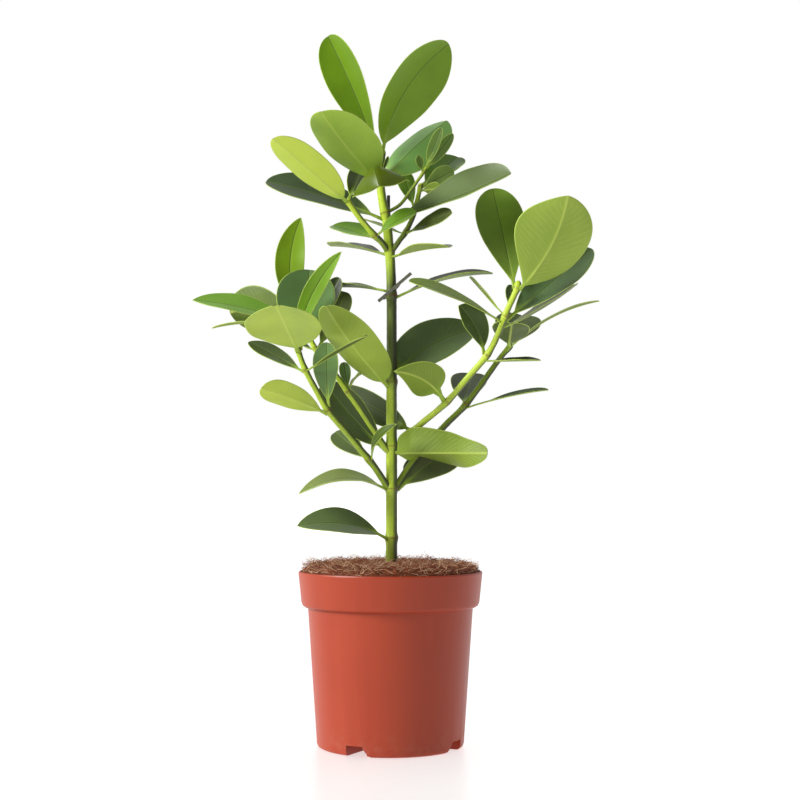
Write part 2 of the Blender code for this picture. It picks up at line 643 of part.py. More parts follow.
def build_plant(parts, materials):
    """Joins the stems and young leaves into one piece and adds every grown leaf."""
    stems = build_stem("trunk", TRUNK_SIDES, parts, materials["stem"])
    for name in list(STEMS)[1:]:
        combine(stems, build_stem(name, BRANCH_SIDES, parts, materials["stem"]), "UNION")
    for name, row in YOUNG.items():
        shape = leaf_skin(leaf_rings(row, YOUNG_STATIONS, YOUNG_ACROSS, True))
        combine(stems, add_object(name, shape, parts, materials["stem"]), "UNION")
    stems.name = "stems"
    for name, row in LEAVES.items():
        tone = row[5].get("tone", DARK)
        shape = leaf_skin(leaf_rings(row, GROWN_STATIONS, GROWN_ACROSS, False))
        add_object(name, shape, parts, materials[tone])


def main():
    for obj in list(bpy.data.objects):
        bpy.data.objects.remove(obj)
    parts = bpy.data.collections.new("potted_clusia")
    cutters = bpy.data.collections.new("cutters")
    for collection in (parts, cutters):
        bpy.context.scene.collection.children.link(collection)
    materials = {
        "pot": make_material("terracotta_plastic", (0.48, 0.085, 0.045), 0.45),
        "soil": make_material("peat", (0.045, 0.025, 0.015), 0.95),
        "coir": make_material("coconut_fibre", (0.26, 0.11, 0.055), 0.9),
        "stem": make_material("green_stem", (0.33, 0.47, 0.06), 0.45),
        "stake": make_material("dark_stake", (0.04, 0.045, 0.04), 0.6),
        "tie": make_material("tie_plastic", (0.05, 0.05, 0.055), 0.5),
        DARK: make_material("leaf_dark", (0.06, 0.13, 0.03), 0.35),
        GREEN: make_material("leaf_green", (0.14, 0.27, 0.05), 0.35),
        LIME: make_material("leaf_lime", (0.3, 0.44, 0.08), 0.4),
    }
    build_pot(parts, cutters, materials["pot"])
    build_filling(parts, cutters, materials["soil"], materials["coir"])
    cylinder("support_stake", STAKE_PLACE, STAKE_RADIUS, STAKE_BOTTOM, STAKE_TOP,
             STAKE_SIDES, parts, materials["stake"])
    build_tie(parts, materials["tie"])
    build_plant(parts, materials)
    for obj in parts.objects:
        obj.data.shade_smooth()
        obj.data.set_sharp_from_angle(angle=math.radians(SHARP_ANGLE))


main()
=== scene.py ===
"""Potted clusia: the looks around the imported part.

Metres, +Z up, front towards -Y. The origin is the middle of the pot's flat underside.
Sizes and places are given in millimetres; MM turns them into metres.
"""
import math

import bmesh
import bpy
import numpy as np
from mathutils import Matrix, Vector, noise


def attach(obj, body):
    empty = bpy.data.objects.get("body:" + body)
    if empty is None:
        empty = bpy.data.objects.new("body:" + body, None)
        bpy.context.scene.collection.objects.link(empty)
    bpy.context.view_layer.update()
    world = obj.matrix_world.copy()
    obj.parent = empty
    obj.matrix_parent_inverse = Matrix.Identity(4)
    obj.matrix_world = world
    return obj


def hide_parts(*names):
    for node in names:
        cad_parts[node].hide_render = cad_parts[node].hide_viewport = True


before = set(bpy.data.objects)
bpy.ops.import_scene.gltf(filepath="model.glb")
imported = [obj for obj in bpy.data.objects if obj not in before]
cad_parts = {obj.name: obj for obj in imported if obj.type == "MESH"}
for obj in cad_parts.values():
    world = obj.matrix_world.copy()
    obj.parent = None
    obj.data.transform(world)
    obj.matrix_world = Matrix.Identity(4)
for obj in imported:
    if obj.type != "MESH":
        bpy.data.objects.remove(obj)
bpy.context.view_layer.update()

MM = 0.001

# Camera, placed as the photograph's was
CAMERA_PLACE = (8.9, -1400.0, 244.0)
CAMERA_TILT = 3.15
CAMERA_LENS = 67.1
SENSOR_WIDTH = 36.0

# Stems
STEM_SIDES = 20
STEM_STEP = 1.1
STEM_DOME = 0.9
NODE_SWELL = 0.2
NODE_REACH = 3.5
PATH_STEPS = 8
SCAR_REACH = 0.9

# Leaves
PETIOLE_HALF = 1.8
PETIOLE_LEAST = 0.5
PETIOLE_SHARE = 0.04
PETIOLE_CROWN = 0.7
LEAF_STATIONS = 54
LEAF_ACROSS = (0, 0.035, 0.08, 0.15, 0.25, 0.37, 0.5, 0.63, 0.75, 0.86, 0.94, 0.98, 1)
LEAF_EDGE = 0.38
LEAF_ROUNDING = 0.5
RIB_HEIGHT = 0.9
RIB_HALF = 1.1
GROOVE_DEPTH = 0.3
GROOVE_HALF = 0.9
FOOT_SINK = 0.8
FOOT_FLARE = 0.35
LAST_RING = 0.9985
FLAT_FOOT = 0.15
FLAT_TIP = (0.5, 0.95)
WAVES_ALONG = (1.5, 2.6)
WAVES_FROM = (0.15, 0.5)
WAVE_PART = 20
ROUND_TIP = 0.5
POINTED_TIP = 0.8
LEAF_DEFAULTS = {
    "arch": 0.0, "sway": 0.0, "fold": 0.14, "cup": 0.1, "twist": 0.0, "petiole": 0.1,
    "foot": 0.93, "point": ROUND_TIP, "ripple": 0.5, "flat_tip": 0.0, "quilt": 0.0,
    "top": 0.3, "under": 0.5, "fresh": 0.0, "warm": 0.0}
WHOLE_LEAF = ("top", "under", "quilt", "fresh", "warm")

# Pot, coir and floor
MERGE = 0.01
POT_ROUNDING = 0.45
POT_CORNER = 30
POT_FLAT = 0.5
COIR_RADIUS = 83.4
COIR_BOTTOM = 151.0
COIR_OUTLINE = ((0, 167.8), (30, 167.8), (60, 167.6), (72, 166.8), (78, 165.2), (81.5, 162.4),
                (84, 158.4))
COIR_RINGS = 90
COIR_SPOKES = 240
COIR_LUMPS = 0.16
COIR_LUMP = 2.6
COIR_CALM_RIM = 6.0
COIR_SHORT = 105000.0
COIR_LONG = 42000.0
FIBRE_POINTS = 8
FIBRE_TURN = 75.0
FIBRE_REACH = 82.5
FIBRE_LEAN = 0.8
FLOOR_HALF = 30000.0
FLOOR_GLOW = 0.62
FLOOR_FAR_GLOW = 1.6
FLOOR_FADE = (2.0, 7.0)
ROOM_FRONT = 0.17
ROOM_BACK = 0.85
KEY_FROM = (-800, -350, 480)
KEY_STRENGTH = 3.5
KEY_SPREAD = 30

# Each stem: points along its middle, foot radius, tip radius, heights of its swollen nodes,
# and its bark tone at some heights, from dark olive at 0 to lime at 1
STEMS = {
    "trunk": (
        [(1, 0, 120), (1, 0, 170), (1, 0, 209), (1, 0, 246), (1, 0, 283), (1, 0, 321),
         (1, 0, 368), (1, 0, 416), (0, 0, 449), (-2, 0, 473), (-4, 0, 492), (-7, 0, 506),
         (-9, 0, 520), (-10, 0, 535), (-9, 0, 549), (-9, 0, 561)],
        5.7, 3.6, (192, 238, 278, 338, 420, 462, 498, 530, 556),
        ((120, 0.7), (190, 0.75), (194, 0.85), (237, 0.85), (330, 0.78), (342, 0.5), (360, 0.36),
         (425, 0.3), (434, 0.5), (460, 0.9), (530, 0.95), (561, 0.7))),
    "low_left": (
        [(1, 0, 233), (-12, -8, 254), (-21, -13, 266), (-39, -21, 288), (-57, -27, 309),
         (-68, -31, 328), (-78, -35, 347), (-84, -38, 363), (-88, -42, 375)],
        3.3, 2.4, (265, 310, 347, 365), ((233, 0.6), (300, 0.75), (375, 0.9))),
    "mid_left": (
        [(1, 0, 268), (-14, -8, 290), (-26, -13, 308), (-40, -17, 328), (-49, -18, 341),
         (-61, -19, 356), (-70, -19, 368), (-76, -17, 380), (-84, -14, 393)],
        2.9, 2.2, (328, 368, 391), ((268, 0.75), (330, 0.85), (393, 0.9))),
    "mid_right": (
        [(1, 0, 270), (14, 3, 286), (28, 0, 298), (53, -8, 319), (72, -13, 341),
         (90, -17, 362), (100, -20, 381), (108, -22, 402), (117, -23, 422), (119, -23, 431)],
        3.0, 2.9, (319, 362, 398, 424), ((270, 0.8), (340, 0.85), (431, 1.0))),
    "low_right": (
        [(1, 0, 232), (18, 8, 259), (33, 14, 277), (53, 22, 299), (72, 30, 318),
         (90, 36, 342), (106, 42, 364), (118, 45, 378)],
        3.4, 2.6, (276, 318, 375), ((232, 0.68), (300, 0.64), (378, 0.62))),
    "high_left": (
        [(-1, 0, 459), (-8, -7, 469), (-15, -12, 475), (-29, -16, 491), (-41, -19, 508)],
        2.9, 2.7, (475, 506), ((459, 0.5), (475, 0.8), (508, 0.95))),
    "high_right": (
        [(-1, 0, 459), (8, -3, 471), (15, -2, 481), (22, 6, 498), (26, 10, 515), (29, 10, 529)],
        2.6, 2.2, (480, 506, 526), ((459, 0.5), (500, 0.6), (529, 1.0))),
    "shoot": (
        [(-5, 0, 498), (9, 3, 507), (20, 4, 522), (31, 4, 538), (36, 4, 546)],
        1.7, 1.5, (538,), ((498, 0.6), (546, 0.9))),
}

# Each leaf: carrier stem, height where it starts, tip, width, facing of the upper side,
# then its bends, its outline and its colours: top and under are the tones of its two sides
# from dark at 0 to lime at 1, fresh takes out blue and warm adds yellow
LEAVES = {
    "leaf_trunk_1_left": (
        "trunk", 191, (-85, -35, 204), 35, (-0.1, -0.9, 1),
        dict(arch=0.12, point=POINTED_TIP, top=0.56, warm=0.3)),
    "leaf_trunk_2_left": (
        "trunk", 237, (-84, -30, 233), 34, (0, -0.35, 1),
        dict(arch=0.15, foot=0.65, point=0.9, top=0.82, warm=0.8)),
    "leaf_trunk_2_right": (
        "trunk", 237, (66, 22, 281), 42, (0, -1, 0.6),
        dict(foot=1.0, arch=0.02, top=0.54, warm=0.5)),
    "leaf_trunk_3_left": (
        "trunk", 273, (-63, 15, 338), 36, (0.1, -1, 0.4),
        dict(arch=0.04, foot=0.7, sway=-0.05, top=0.4, warm=0.2, fresh=0.1)),
    "leaf_trunk_3_right": (
        "trunk", 271, (88, -52, 270), 35, (0, 0.9, 0.43),
        dict(fold=0.95, flat_tip=1.0, foot=0.1, point=0.36, twist=58, petiole=0.05, quilt=0.6,
             under=0.58)),
    "leaf_trunk_4_left": (
        "trunk", 333, (-57, -76, 401), 49, (0.22, 0.6, 0.78),
        dict(foot=0.42, petiole=0.08, sway=0.03, under=0.72)),
    "leaf_trunk_4_right": (
        "trunk", 346, (80, 28, 390), 50, (-0.08, -0.85, 0.55),
        dict(arch=0.02, foot=0.45, petiole=0.04, sway=-0.08, top=0.58, warm=0.2)),
    "leaf_trunk_5_left": (
        "trunk", 424, (-84, 34, 427), 36, (0, -0.12, 1),
        dict(arch=0.06, top=0.36, under=0.2)),
    "leaf_trunk_5_right": (
        "trunk", 418, (97, 10, 442), 34, (0, -0.2, 1), dict(arch=0.06, top=0.1, warm=0.5)),
    "leaf_trunk_6_left": (
        "trunk", 459, (-59, 50, 475), 34, (0, -0.1, 1),
        dict(arch=0.03, under=0.56, top=0.3, warm=0.3)),
    "leaf_trunk_6_right": (
        "trunk", 456, (54, -50, 458), 30, (0, -0.08, 1), dict(arch=0.03, under=0.7)),
    "leaf_trunk_7_left": (
        "trunk", 493, (-119, 12, 531), 43, (0, -0.9, 1),
        dict(arch=0.03, foot=0.75, top=0.4, fresh=0.1)),
    "leaf_trunk_7_right": (
        "trunk", 491, (112, -30, 530), 47, (0, -0.85, 1),
        dict(arch=-0.02, fold=0.35, top=0.68, warm=0.4)),
    "leaf_trunk_8_left": (
        "trunk", 529, (-62.5, -62, 580), 62, (0.23, 0.47, 0.85),
        dict(foot=0.5, petiole=0.08, sway=0.03, fresh=0.7, under=0.8)),
    "leaf_trunk_8_front": (
        "trunk", 528, (-10, -50, 514), 56, (-0.3, -0.25, 1),
        dict(arch=0.34, fold=-0.35, cup=-0.45, foot=0.5, point=0.45, warm=0.2, fresh=1.0,
             top=0.62, under=0.4)),
    "leaf_trunk_8_right": (
        "trunk", 530, (55, 42, 597), 44, (-0.3, -1, 0.5),
        dict(arch=0.04, foot=0.5, fold=-0.3, cup=-0.1, top=1.0)),
    "leaf_trunk_9_left": (
        "trunk", 554, (-60.5, 16, 673), 38, (-0.55, -1, 0.2),
        dict(sway=0.02, petiole=0.04, foot=1.05, point=0.55, fold=0.5, fresh=1.0, top=0.8)),
    "leaf_trunk_9_right": (
        "trunk", 554, (54, -40, 649), 54, (0.8, -1, 0),
        dict(sway=-0.12, foot=0.8, petiole=0.08, point=0.55, fold=0.3, fresh=1.0, top=0.88,
             warm=0.1)),
    "leaf_low_left_1_right": (
        "low_left", 264, (6, -40, 297), 15, (-0.6, -0.6, 0.6),
        dict(arch=0.15, point=0.9, quilt=0.3, top=0.5, fresh=0.8)),
    "leaf_low_left_1_back": (
        "low_left", 264, (-54, 28, 291), 22, (0, -1, 0.5),
        dict(top=0.5, warm=0.2, fresh=0.3)),
    "leaf_low_left_2_left": (
        "low_left", 308, (-116, -62, 328), 27, (0, 1, 0.6),
        dict(arch=0.05, quilt=1.0, ripple=1.2, foot=0.8, under=0.88)),
    "leaf_low_left_2_up": (
        "low_left", 312, (-58.5, -37, 372), 25, (-0.3, -1, 0),
        dict(arch=0.03, top=0.7, fresh=0.1)),
    "leaf_low_left_3_left": (
        "low_left", 345, (-133, -8, 375), 22, (0, -0.6, 0.9),
        dict(point=0.65, top=0.54, warm=0.3)),
    "leaf_low_left_3_right": (
        "low_left", 346, (-20, -94, 372), 20, (-0.42, -0.1, 0.9),
        dict(arch=0.005, top=0.22, under=0.22)),
    "leaf_low_left_4_front": (
        "low_left", 363, (-98, -124, 396), 68, (0, 0.3, 1),
        dict(foot=0.9, fold=-0.1, cup=-0.06, quilt=0.25, under=0.8)),
    "leaf_low_left_4_back": (
        "low_left", 364, (-75, -30, 440), 54, (0, -1, 0.1), dict(foot=0.8, top=0.78)),
    "leaf_low_left_5_up": (
        "low_left", 373, (-44, -62, 452), 18, (-0.1, -1, 0.1),
        dict(point=POINTED_TIP, foot=0.8, petiole=0.05, sway=-0.07, fold=0.1, top=0.95,
             fresh=0.9)),
    "leaf_mid_left_2_back": (
        "mid_left", 366, (-44, 22, 426), 26, (0, -1, 0.5),
        dict(top=0.54, warm=0.5, fresh=0.1)),
    "leaf_mid_left_3_right": (
        "mid_left", 380, (-48, -14, 435), 18, (0, -1, 0.5),
        dict(top=0.26, fresh=0.2)),
    "leaf_mid_left_4_left": (
        "mid_left", 391, (-183, -28, 412), 34, (0, -0.7, 1),
        dict(point=POINTED_TIP, arch=0.04, top=0.98, fresh=0.6)),
    "leaf_mid_left_4_up": (
        "mid_left", 391, (-85, 0, 494), 28, (0, -1, 0),
        dict(point=POINTED_TIP, sway=-0.11, fresh=1.0, top=0.88, warm=0.2)),
    "leaf_mid_left_4_back": (
        "mid_left", 391, (-154, 22, 406), 44, (0, 1, 0.35),
        dict(arch=0.04, petiole=0.16, sway=-0.1, under=0.28)),
    "leaf_mid_right_1_back": (
        "mid_right", 291, (-58, 56, 336), 27, (-0.3, -1, 0.1),
        dict(foot=0.6, point=0.6, petiole=0.05, sway=0.02, top=0.52, warm=0.3)),
    "leaf_mid_right_2_left": (
        "mid_right", 318, (3, -42, 345), 36, (0.2, 1, 0.2),
        dict(sway=-0.12, foot=0.3, point=1.0, fold=0.3, petiole=0.2, quilt=0.3, under=0.5)),
    "leaf_mid_right_3_up": (
        "mid_right", 361, (63, -26, 407), 28, (0.6, -1, 0.2),
        dict(sway=0.1, point=0.7, fold=0.3, top=0.44, fresh=0.5)),
    "leaf_mid_right_3_right": (
        "mid_right", 358, (138, -36, 355.5), 18, (0, -0.25, 1), dict(point=0.7, top=0.0)),
    "leaf_mid_right_4_left": (
        "mid_right", 392, (17, -62, 425), 23, (0, -0.7, 1), dict(arch=0.04, top=0.9, warm=0.7)),
    "leaf_mid_right_4_right": (
        "mid_right", 394, (192, 12, 466), 44, (-0.3, -1, 0.7), dict(point=0.65, top=0.56)),
    "leaf_mid_right_4_under": (
        "mid_right", 388, (179, 26, 434), 30, (0, 0.1, 1),
        dict(arch=-0.03, top=0.5, warm=0.5, under=0.12)),
    "leaf_mid_right_5_front": (
        "mid_right", 423, (161, -62, 503), 75, (-0.15, 0.85, 0.5),
        dict(foot=1.02, point=0.75, petiole=0.05, quilt=0.3, sway=-0.08, under=0.64)),
    "leaf_mid_right_5_back": (
        "mid_right", 423, (98, 22, 526), 46, (0, -1, 0.3),
        dict(foot=1.1, point=0.6, petiole=0.05, fresh=0.7, top=0.82, warm=0.2)),
    "leaf_low_right_2_back": (
        "low_right", 317, (80, 88, 352), 36, (0, -0.6, 1),
        dict(top=0.3, fresh=0.3, warm=0.1)),
    "leaf_low_right_2_right": (
        "low_right", 316, (151, 24, 332), 17, (0, -0.3, 1), dict(arch=0.03, petiole=0.28)),
    "leaf_low_right_3_front": (
        "low_right", 374, (114, -4, 393), 36, (0.1, 0.3, 1),
        dict(petiole=0.15, foot=0.7, under=0.2)),
    "leaf_low_right_3_back": (
        "low_right", 374, (132, 92, 411), 46, (0, -0.8, 1), dict(top=0.48, warm=0.2, fresh=0.4)),
    "leaf_low_right_3_right": (
        "low_right", 371, (203, 44, 420), 13, (-0.4, 0, 0.9), dict(arch=0.08, under=0.32)),
    "leaf_high_left_1_left": (
        "high_left", 473, (-56, 22, 490), 29, (0, -0.6, 1),
        dict(foot=0.6, fresh=0.9, top=1.0)),
    "leaf_high_left_1_right": (
        "high_left", 474, (24, -22, 495), 25, (0, -0.8, 1),
        dict(arch=0.05, foot=0.75, fresh=0.8, top=1.0)),
    "leaf_high_left_2_right": (
        "high_left", 507, (-27, 24, 549), 20, (-0.1, -1, 0.3), dict(top=0.22, fresh=0.8)),
    "leaf_high_left_2_left": (
        "high_left", 506, (-105, -76, 552), 38, (0.14, 0.6, 0.79),
        dict(foot=0.58, petiole=0.06, quilt=0.25, under=1.0)),
    "leaf_high_right_1_right": (
        "high_right", 479, (57, -30, 493), 22, (0, -1, 0.8),
        dict(top=0.54, warm=0.3, fresh=0.4)),
    "leaf_high_right_3_back": (
        "high_right", 527, (66, 52, 563), 34, (-0.3, -1, 0.6), dict(top=0.8, fresh=0.6)),
    "leaf_high_right_3_right": (
        "high_right", 525, (60, 8, 541), 20, (0, -1, 0.5),
        dict(top=0.74, warm=0.3, fresh=0.3)),
}

# Young and half hidden leaves, which the stems' solid holds
YOUNG = {
    "high_right_1_back": ("high_right", 478, (-25, 52, 501), 14, (0, 0.2, 1), dict()),
    "high_right_2_up": (
        "high_right", 505, (11, 30, 545), 17, (0, -1, 0.3), dict(top=0.7, fresh=0.6)),
    "high_right_3_low": ("high_right", 522, (48, 2, 522), 14, (0, 1, 0.5), dict()),
    "shoot_tip_left": (
        "shoot", 543, (48, -8, 578), 12, (-0.5, -1, 0), dict(foot=0.6, top=0.7, fresh=0.6)),
    "shoot_tip_right": (
        "shoot", 542, (59, -2, 574), 12, (0.5, -1, 0), dict(foot=0.6, top=0.7, fresh=0.6)),
    "shoot_tip_low": ("shoot", 538, (26, -6, 552), 8, (0, -1, 0), dict(top=0.6, fresh=0.6)),
    "trunk_8_bud": ("trunk", 536, (-2, -8, 551), 4, (0, -1, 0), dict()),
    "mid_left_1_up": ("mid_left", 329, (-44, -8, 356), 11, (0, -1, 0.3), dict(top=0.62)),
    "mid_left_1_right": ("mid_left", 328, (-16, 6, 349), 16, (-0.6, 0, 0.7), dict(arch=0.15)),
    "mid_left_2_left": ("mid_left", 367, (-101, 6, 381), 14, (0, -0.2, 1), dict()),
    "mid_left_4_far": ("mid_left", 386, (-172, 30, 392), 10, (0, 0, 1), dict(arch=0.06)),
    "mid_right_4_up": ("mid_right", 399, (75, 6, 438), 14, (0.7, 0, 0.6), dict()),
    "mid_right_5_low": ("mid_right", 407, (113, -8, 429), 9, (0, -1, 0.2), dict()),
    "low_right_1_down": ("low_right", 275, (14, 24, 252), 14, (-0.5, -1, 0.3), dict()),
}


class Value:
    """A number in a shader or a node tree: arithmetic on it adds Math nodes."""

    def __init__(self, maker, socket):
        self.maker = maker
        self.socket = socket

    def _math(self, operation, *values):
        return self.maker.node("ShaderNodeMath", {"operation": operation}, dict(enumerate(values)))

    def __add__(self, other):
        return self._math("ADD", self, other)

    __radd__ = __add__

    def __sub__(self, other):
        return self._math("SUBTRACT", self, other)

    def __rsub__(self, other):
        return self._math("SUBTRACT", other, self)

    def __mul__(self, other):
        return self._math("MULTIPLY", self, other)

    __rmul__ = __mul__

    def __truediv__(self, other):
        return self._math("DIVIDE", self, other)

    def __rtruediv__(self, other):
        return self._math("DIVIDE", other, self)

    def __pow__(self, other):
        return self._math("POWER", self, other)

    def size(self):
        return self._math("ABSOLUTE", self)

    def part(self):
        return self._math("FRACT", self)

    def band(self, start, end):
        """Rises smoothly from 0 at start to 1 at end, or falls when end is the smaller."""
        settings = {"interpolation_type": "SMOOTHSTEP"}
        low, high = (start, end) if start < end else (end, start)
        rise = self.maker.node("ShaderNodeMapRange", settings,
                               {"Value": self, "From Min": low, "From Max": high})
        return rise if start < end else 1 - rise


class NodeMaker:
    """Adds nodes to one tree."""

    def __init__(self, tree):
        self.tree = tree

    def node(self, kind, settings=None, values=None, output=0):
        """Adds a node: its settings first, then the values or links of its sockets."""
        made = self.tree.nodes.new(kind)
        for name, value in (settings or {}).items():
            if name == "stops":
                self._stops(made.color_ramp, value)
            else:
                setattr(made, name, value)
        for key, value in (values or {}).items():
            self.feed(made.inputs[key], value)
        return Value(self, made.outputs[output])

    def feed(self, socket, value):
        if isinstance(value, Value):
            self.tree.links.new(value.socket, socket)
        else:
            socket.default_value = value

    def _stops(self, ramp, stops):
        while len(ramp.elements) < len(stops):
            ramp.elements.new(1)
        for element, (place, colour) in zip(ramp.elements, stops):
            element.position = place
            element.color = (*colour, 1)


class Finish(NodeMaker):
    """A material that is built on its Principled shader."""

    def __init__(self, name, specular):
        self.material = bpy.data.materials.new(name)
        self.material.use_nodes = True
        super().__init__(self.material.node_tree)
        self.shader = self.tree.nodes["Principled BSDF"]
        self.shader.inputs["Specular IOR Level"].default_value = specular
        self.place = self.node("ShaderNodeTexCoord", output="Object")

    def speckle(self, per_metre, detail=3.0, rough=0.5, stretch=None, output="Fac"):
        """Noise of so many lumps a metre, drawn out along an axis where stretch says so."""
        place = self.place
        if stretch:
            place = self.node("ShaderNodeMapping", None, {"Vector": place, "Scale": stretch})
        return self.node("ShaderNodeTexNoise", None, {
            "Vector": place, "Scale": per_metre, "Detail": detail, "Roughness": rough}, output)

    def told(self, name):
        """Reads a number that the mesh carries."""
        return self.node("ShaderNodeAttribute", {"attribute_name": name}, output="Fac")

    def ramp(self, amount, stops):
        return self.node("ShaderNodeValToRGB", {"stops": stops}, {"Fac": amount}, "Color")

    def blend(self, amount, first, second, kind="MIX"):
        """Mixes two colours."""
        colours = [value if isinstance(value, Value) else (*value, 1) for value in (first, second)]
        return self.node("ShaderNodeMix", {"data_type": "RGBA", "blend_type": kind},
                         {0: amount, 6: colours[0], 7: colours[1]}, 2)

    def relief(self, height, depth, strength=1.0):
        """Raises the surface by height times depth, in metres."""
        bump = self.node("ShaderNodeBump", None, {
            "Height": height, "Distance": depth, "Strength": strength})
        self.feed(self.shader.inputs["Normal"], bump)

    def colour(self, value):
        self.feed(self.shader.inputs["Base Color"], value)

    def rough(self, value):
        self.feed(self.shader.inputs["Roughness"], value)


class Recipe(NodeMaker):
    """A Geometry Nodes tree with named inputs."""

    KINDS = {float: "NodeSocketFloat", int: "NodeSocketInt", str: "NodeSocketMaterial"}

    def __init__(self, name, inputs):
        tree = bpy.data.node_groups.new(name, "GeometryNodeTree")
        super().__init__(tree)
        tree.interface.new_socket("Geometry", in_out="INPUT", socket_type="NodeSocketGeometry")
        tree.interface.new_socket("Geometry", in_out="OUTPUT", socket_type="NodeSocketGeometry")
        for title, kind in inputs.items():
            tree.interface.new_socket(title, in_out="INPUT", socket_type=self.KINDS[kind])
        self.source = tree.nodes.new("NodeGroupInput")
        self.end = tree.nodes.new("NodeGroupOutput")

    def given(self, title):
        return Value(self, self.source.outputs[title])

    def told(self, name):
        return self.node("GeometryNodeInputNamedAttribute", None, {"Name": name})

    def chance(self, low, high, seed):
        """A random number for each point."""
        return self.node("FunctionNodeRandomValue", {"data_type": "FLOAT"},
                         {2: low, 3: high, "Seed": seed}, 1)

    def vector(self, x, y, z):
        return self.node("ShaderNodeCombineXYZ", None, {0: x, 1: y, 2: z})

    def keep(self, geometry, name, value):
        """Stores a number on every point under a name."""
        return self.node("GeometryNodeStoreNamedAttribute", None, {
            "Geometry": geometry, "Name": name, "Value": value})

    def finish(self, geometry):
        real = self.node("GeometryNodeRealizeInstances", None, {"Geometry": geometry})
        coated = self.node("GeometryNodeSetMaterial", None, {
            "Geometry": real, "Material": self.given("Material")})
        self.feed(self.end.inputs["Geometry"], coated)
        return self.tree


def into_scene(name, data):
    """Puts a new object into the scene, at the origin."""
    thing = bpy.data.objects.new(name, data)
    bpy.context.scene.collection.objects.link(thing)
    return thing


def carry(mesh, numbers):
    """Stores named numbers on a mesh's points."""
    for title, values in numbers.items():
        mesh.attributes.new(title, "FLOAT", "POINT").data.foreach_set("value", values)


def turn_outwards(mesh, merge=False):
    """Points a mesh's faces outwards, with its doubled points merged first if asked."""
    shell = bmesh.new()
    shell.from_mesh(mesh)
    if merge:
        bmesh.ops.remove_doubles(shell, verts=shell.verts, dist=MERGE * MM)
    bmesh.ops.recalc_face_normals(shell, faces=shell.faces)
    shell.to_mesh(mesh)
    shell.free()


def add_piece(name, points, faces, numbers, material):
    """Makes a smooth mesh piece whose points carry named numbers."""
    mesh = bpy.data.meshes.new(name)
    mesh.from_pydata([tuple(p) for p in np.asarray(points) * MM], [], faces)
    carry(mesh, numbers)
    mesh.materials.append(material)
    mesh.validate()
    mesh.shade_smooth()
    return into_scene(name, mesh)


def run_recipe(tree, source, name, **given):
    """Runs a Geometry Nodes tree on source, and leaves a plain mesh piece in its place."""
    modifier = source.modifiers.new("recipe", "NODES")
    modifier.node_group = tree
    for item in tree.interface.items_tree:
        key = item.name.lower().replace(" ", "_")
        if item.in_out == "INPUT" and key in given:
            modifier[item.identifier] = given[key]
    graph = bpy.context.evaluated_depsgraph_get()
    mesh = bpy.data.meshes.new_from_object(source.evaluated_get(graph))
    source.modifiers.remove(modifier)
    mesh.name = name
    mesh.shade_smooth()
    return into_scene(name, mesh)


def smooth_path(points):
    """Rounds a row of points with a Catmull-Rom curve."""
    pts = [Vector(p) for p in points]
    pts = [pts[0] * 2 - pts[1]] + pts + [pts[-1] * 2 - pts[-2]]
    path = []
    for a, b, c, d in zip(pts, pts[1:], pts[2:], pts[3:]):
        for i in range(PATH_STEPS):
            t = i / PATH_STEPS
            path.append(0.5 * (
                2 * b + (c - a) * t + (2 * a - 5 * b + 4 * c - d) * t ** 2
                + (3 * b - a - 3 * c + d) * t ** 3))
    path.append(pts[-2])
    return path


PATHS = {name: smooth_path(row[0]) for name, row in STEMS.items()}


def point_on_stem(stem, height):
    """Finds the middle, direction and radius of a stem at a height."""
    _, foot, tip, nodes, _ = STEMS[stem]
    path = PATHS[stem]
    for index, (low, high) in enumerate(zip(path, path[1:])):
        if height <= high.z:
            break
    share = min(max((height - low.z) / (high.z - low.z), 0), 1)
    swell = max(math.exp(-((height - node) / NODE_REACH) ** 2) for node in nodes)
    radius = foot + (tip - foot) * (index + share) / (len(path) - 1)
    return low.lerp(high, share), (high - low).normalized(), radius * (1 + NODE_SWELL * swell)


def stem_lines():
    """A mesh of one line for each stem, whose points carry radius, bark tone and scar."""
    points = []
    edges = []
    radii = []
    barks = []
    scars = []
    for stem, (places, _, _, nodes, tones) in STEMS.items():
        bottom = places[0][2]
        top = places[-1][2]
        steps = int((top - bottom) / STEM_STEP)
        first = len(points)
        for step in range(steps + 1):
            height = bottom + (top - bottom) * step / steps
            middle, _, radius = point_on_stem(stem, height)
            close = (top - height) / radius
            radii.append(radius * MM * math.sqrt(1 - (1 - min(close, 1)) ** 2 * STEM_DOME))
            points.append(middle)
            barks.append(np.interp(height, [h for h, _ in tones], [t for _, t in tones]))
            scars.append(max(math.exp(-((height - n) / SCAR_REACH) ** 2) for n in nodes))
        edges += [(i, i + 1) for i in range(first, len(points) - 1)]
    mesh = bpy.data.meshes.new("stem_lines")
    mesh.from_pydata([p * MM for p in points], edges, [])
    carry(mesh, {"girth": radii, "bark": barks, "scar": scars})
    return into_scene("stem_lines", mesh)


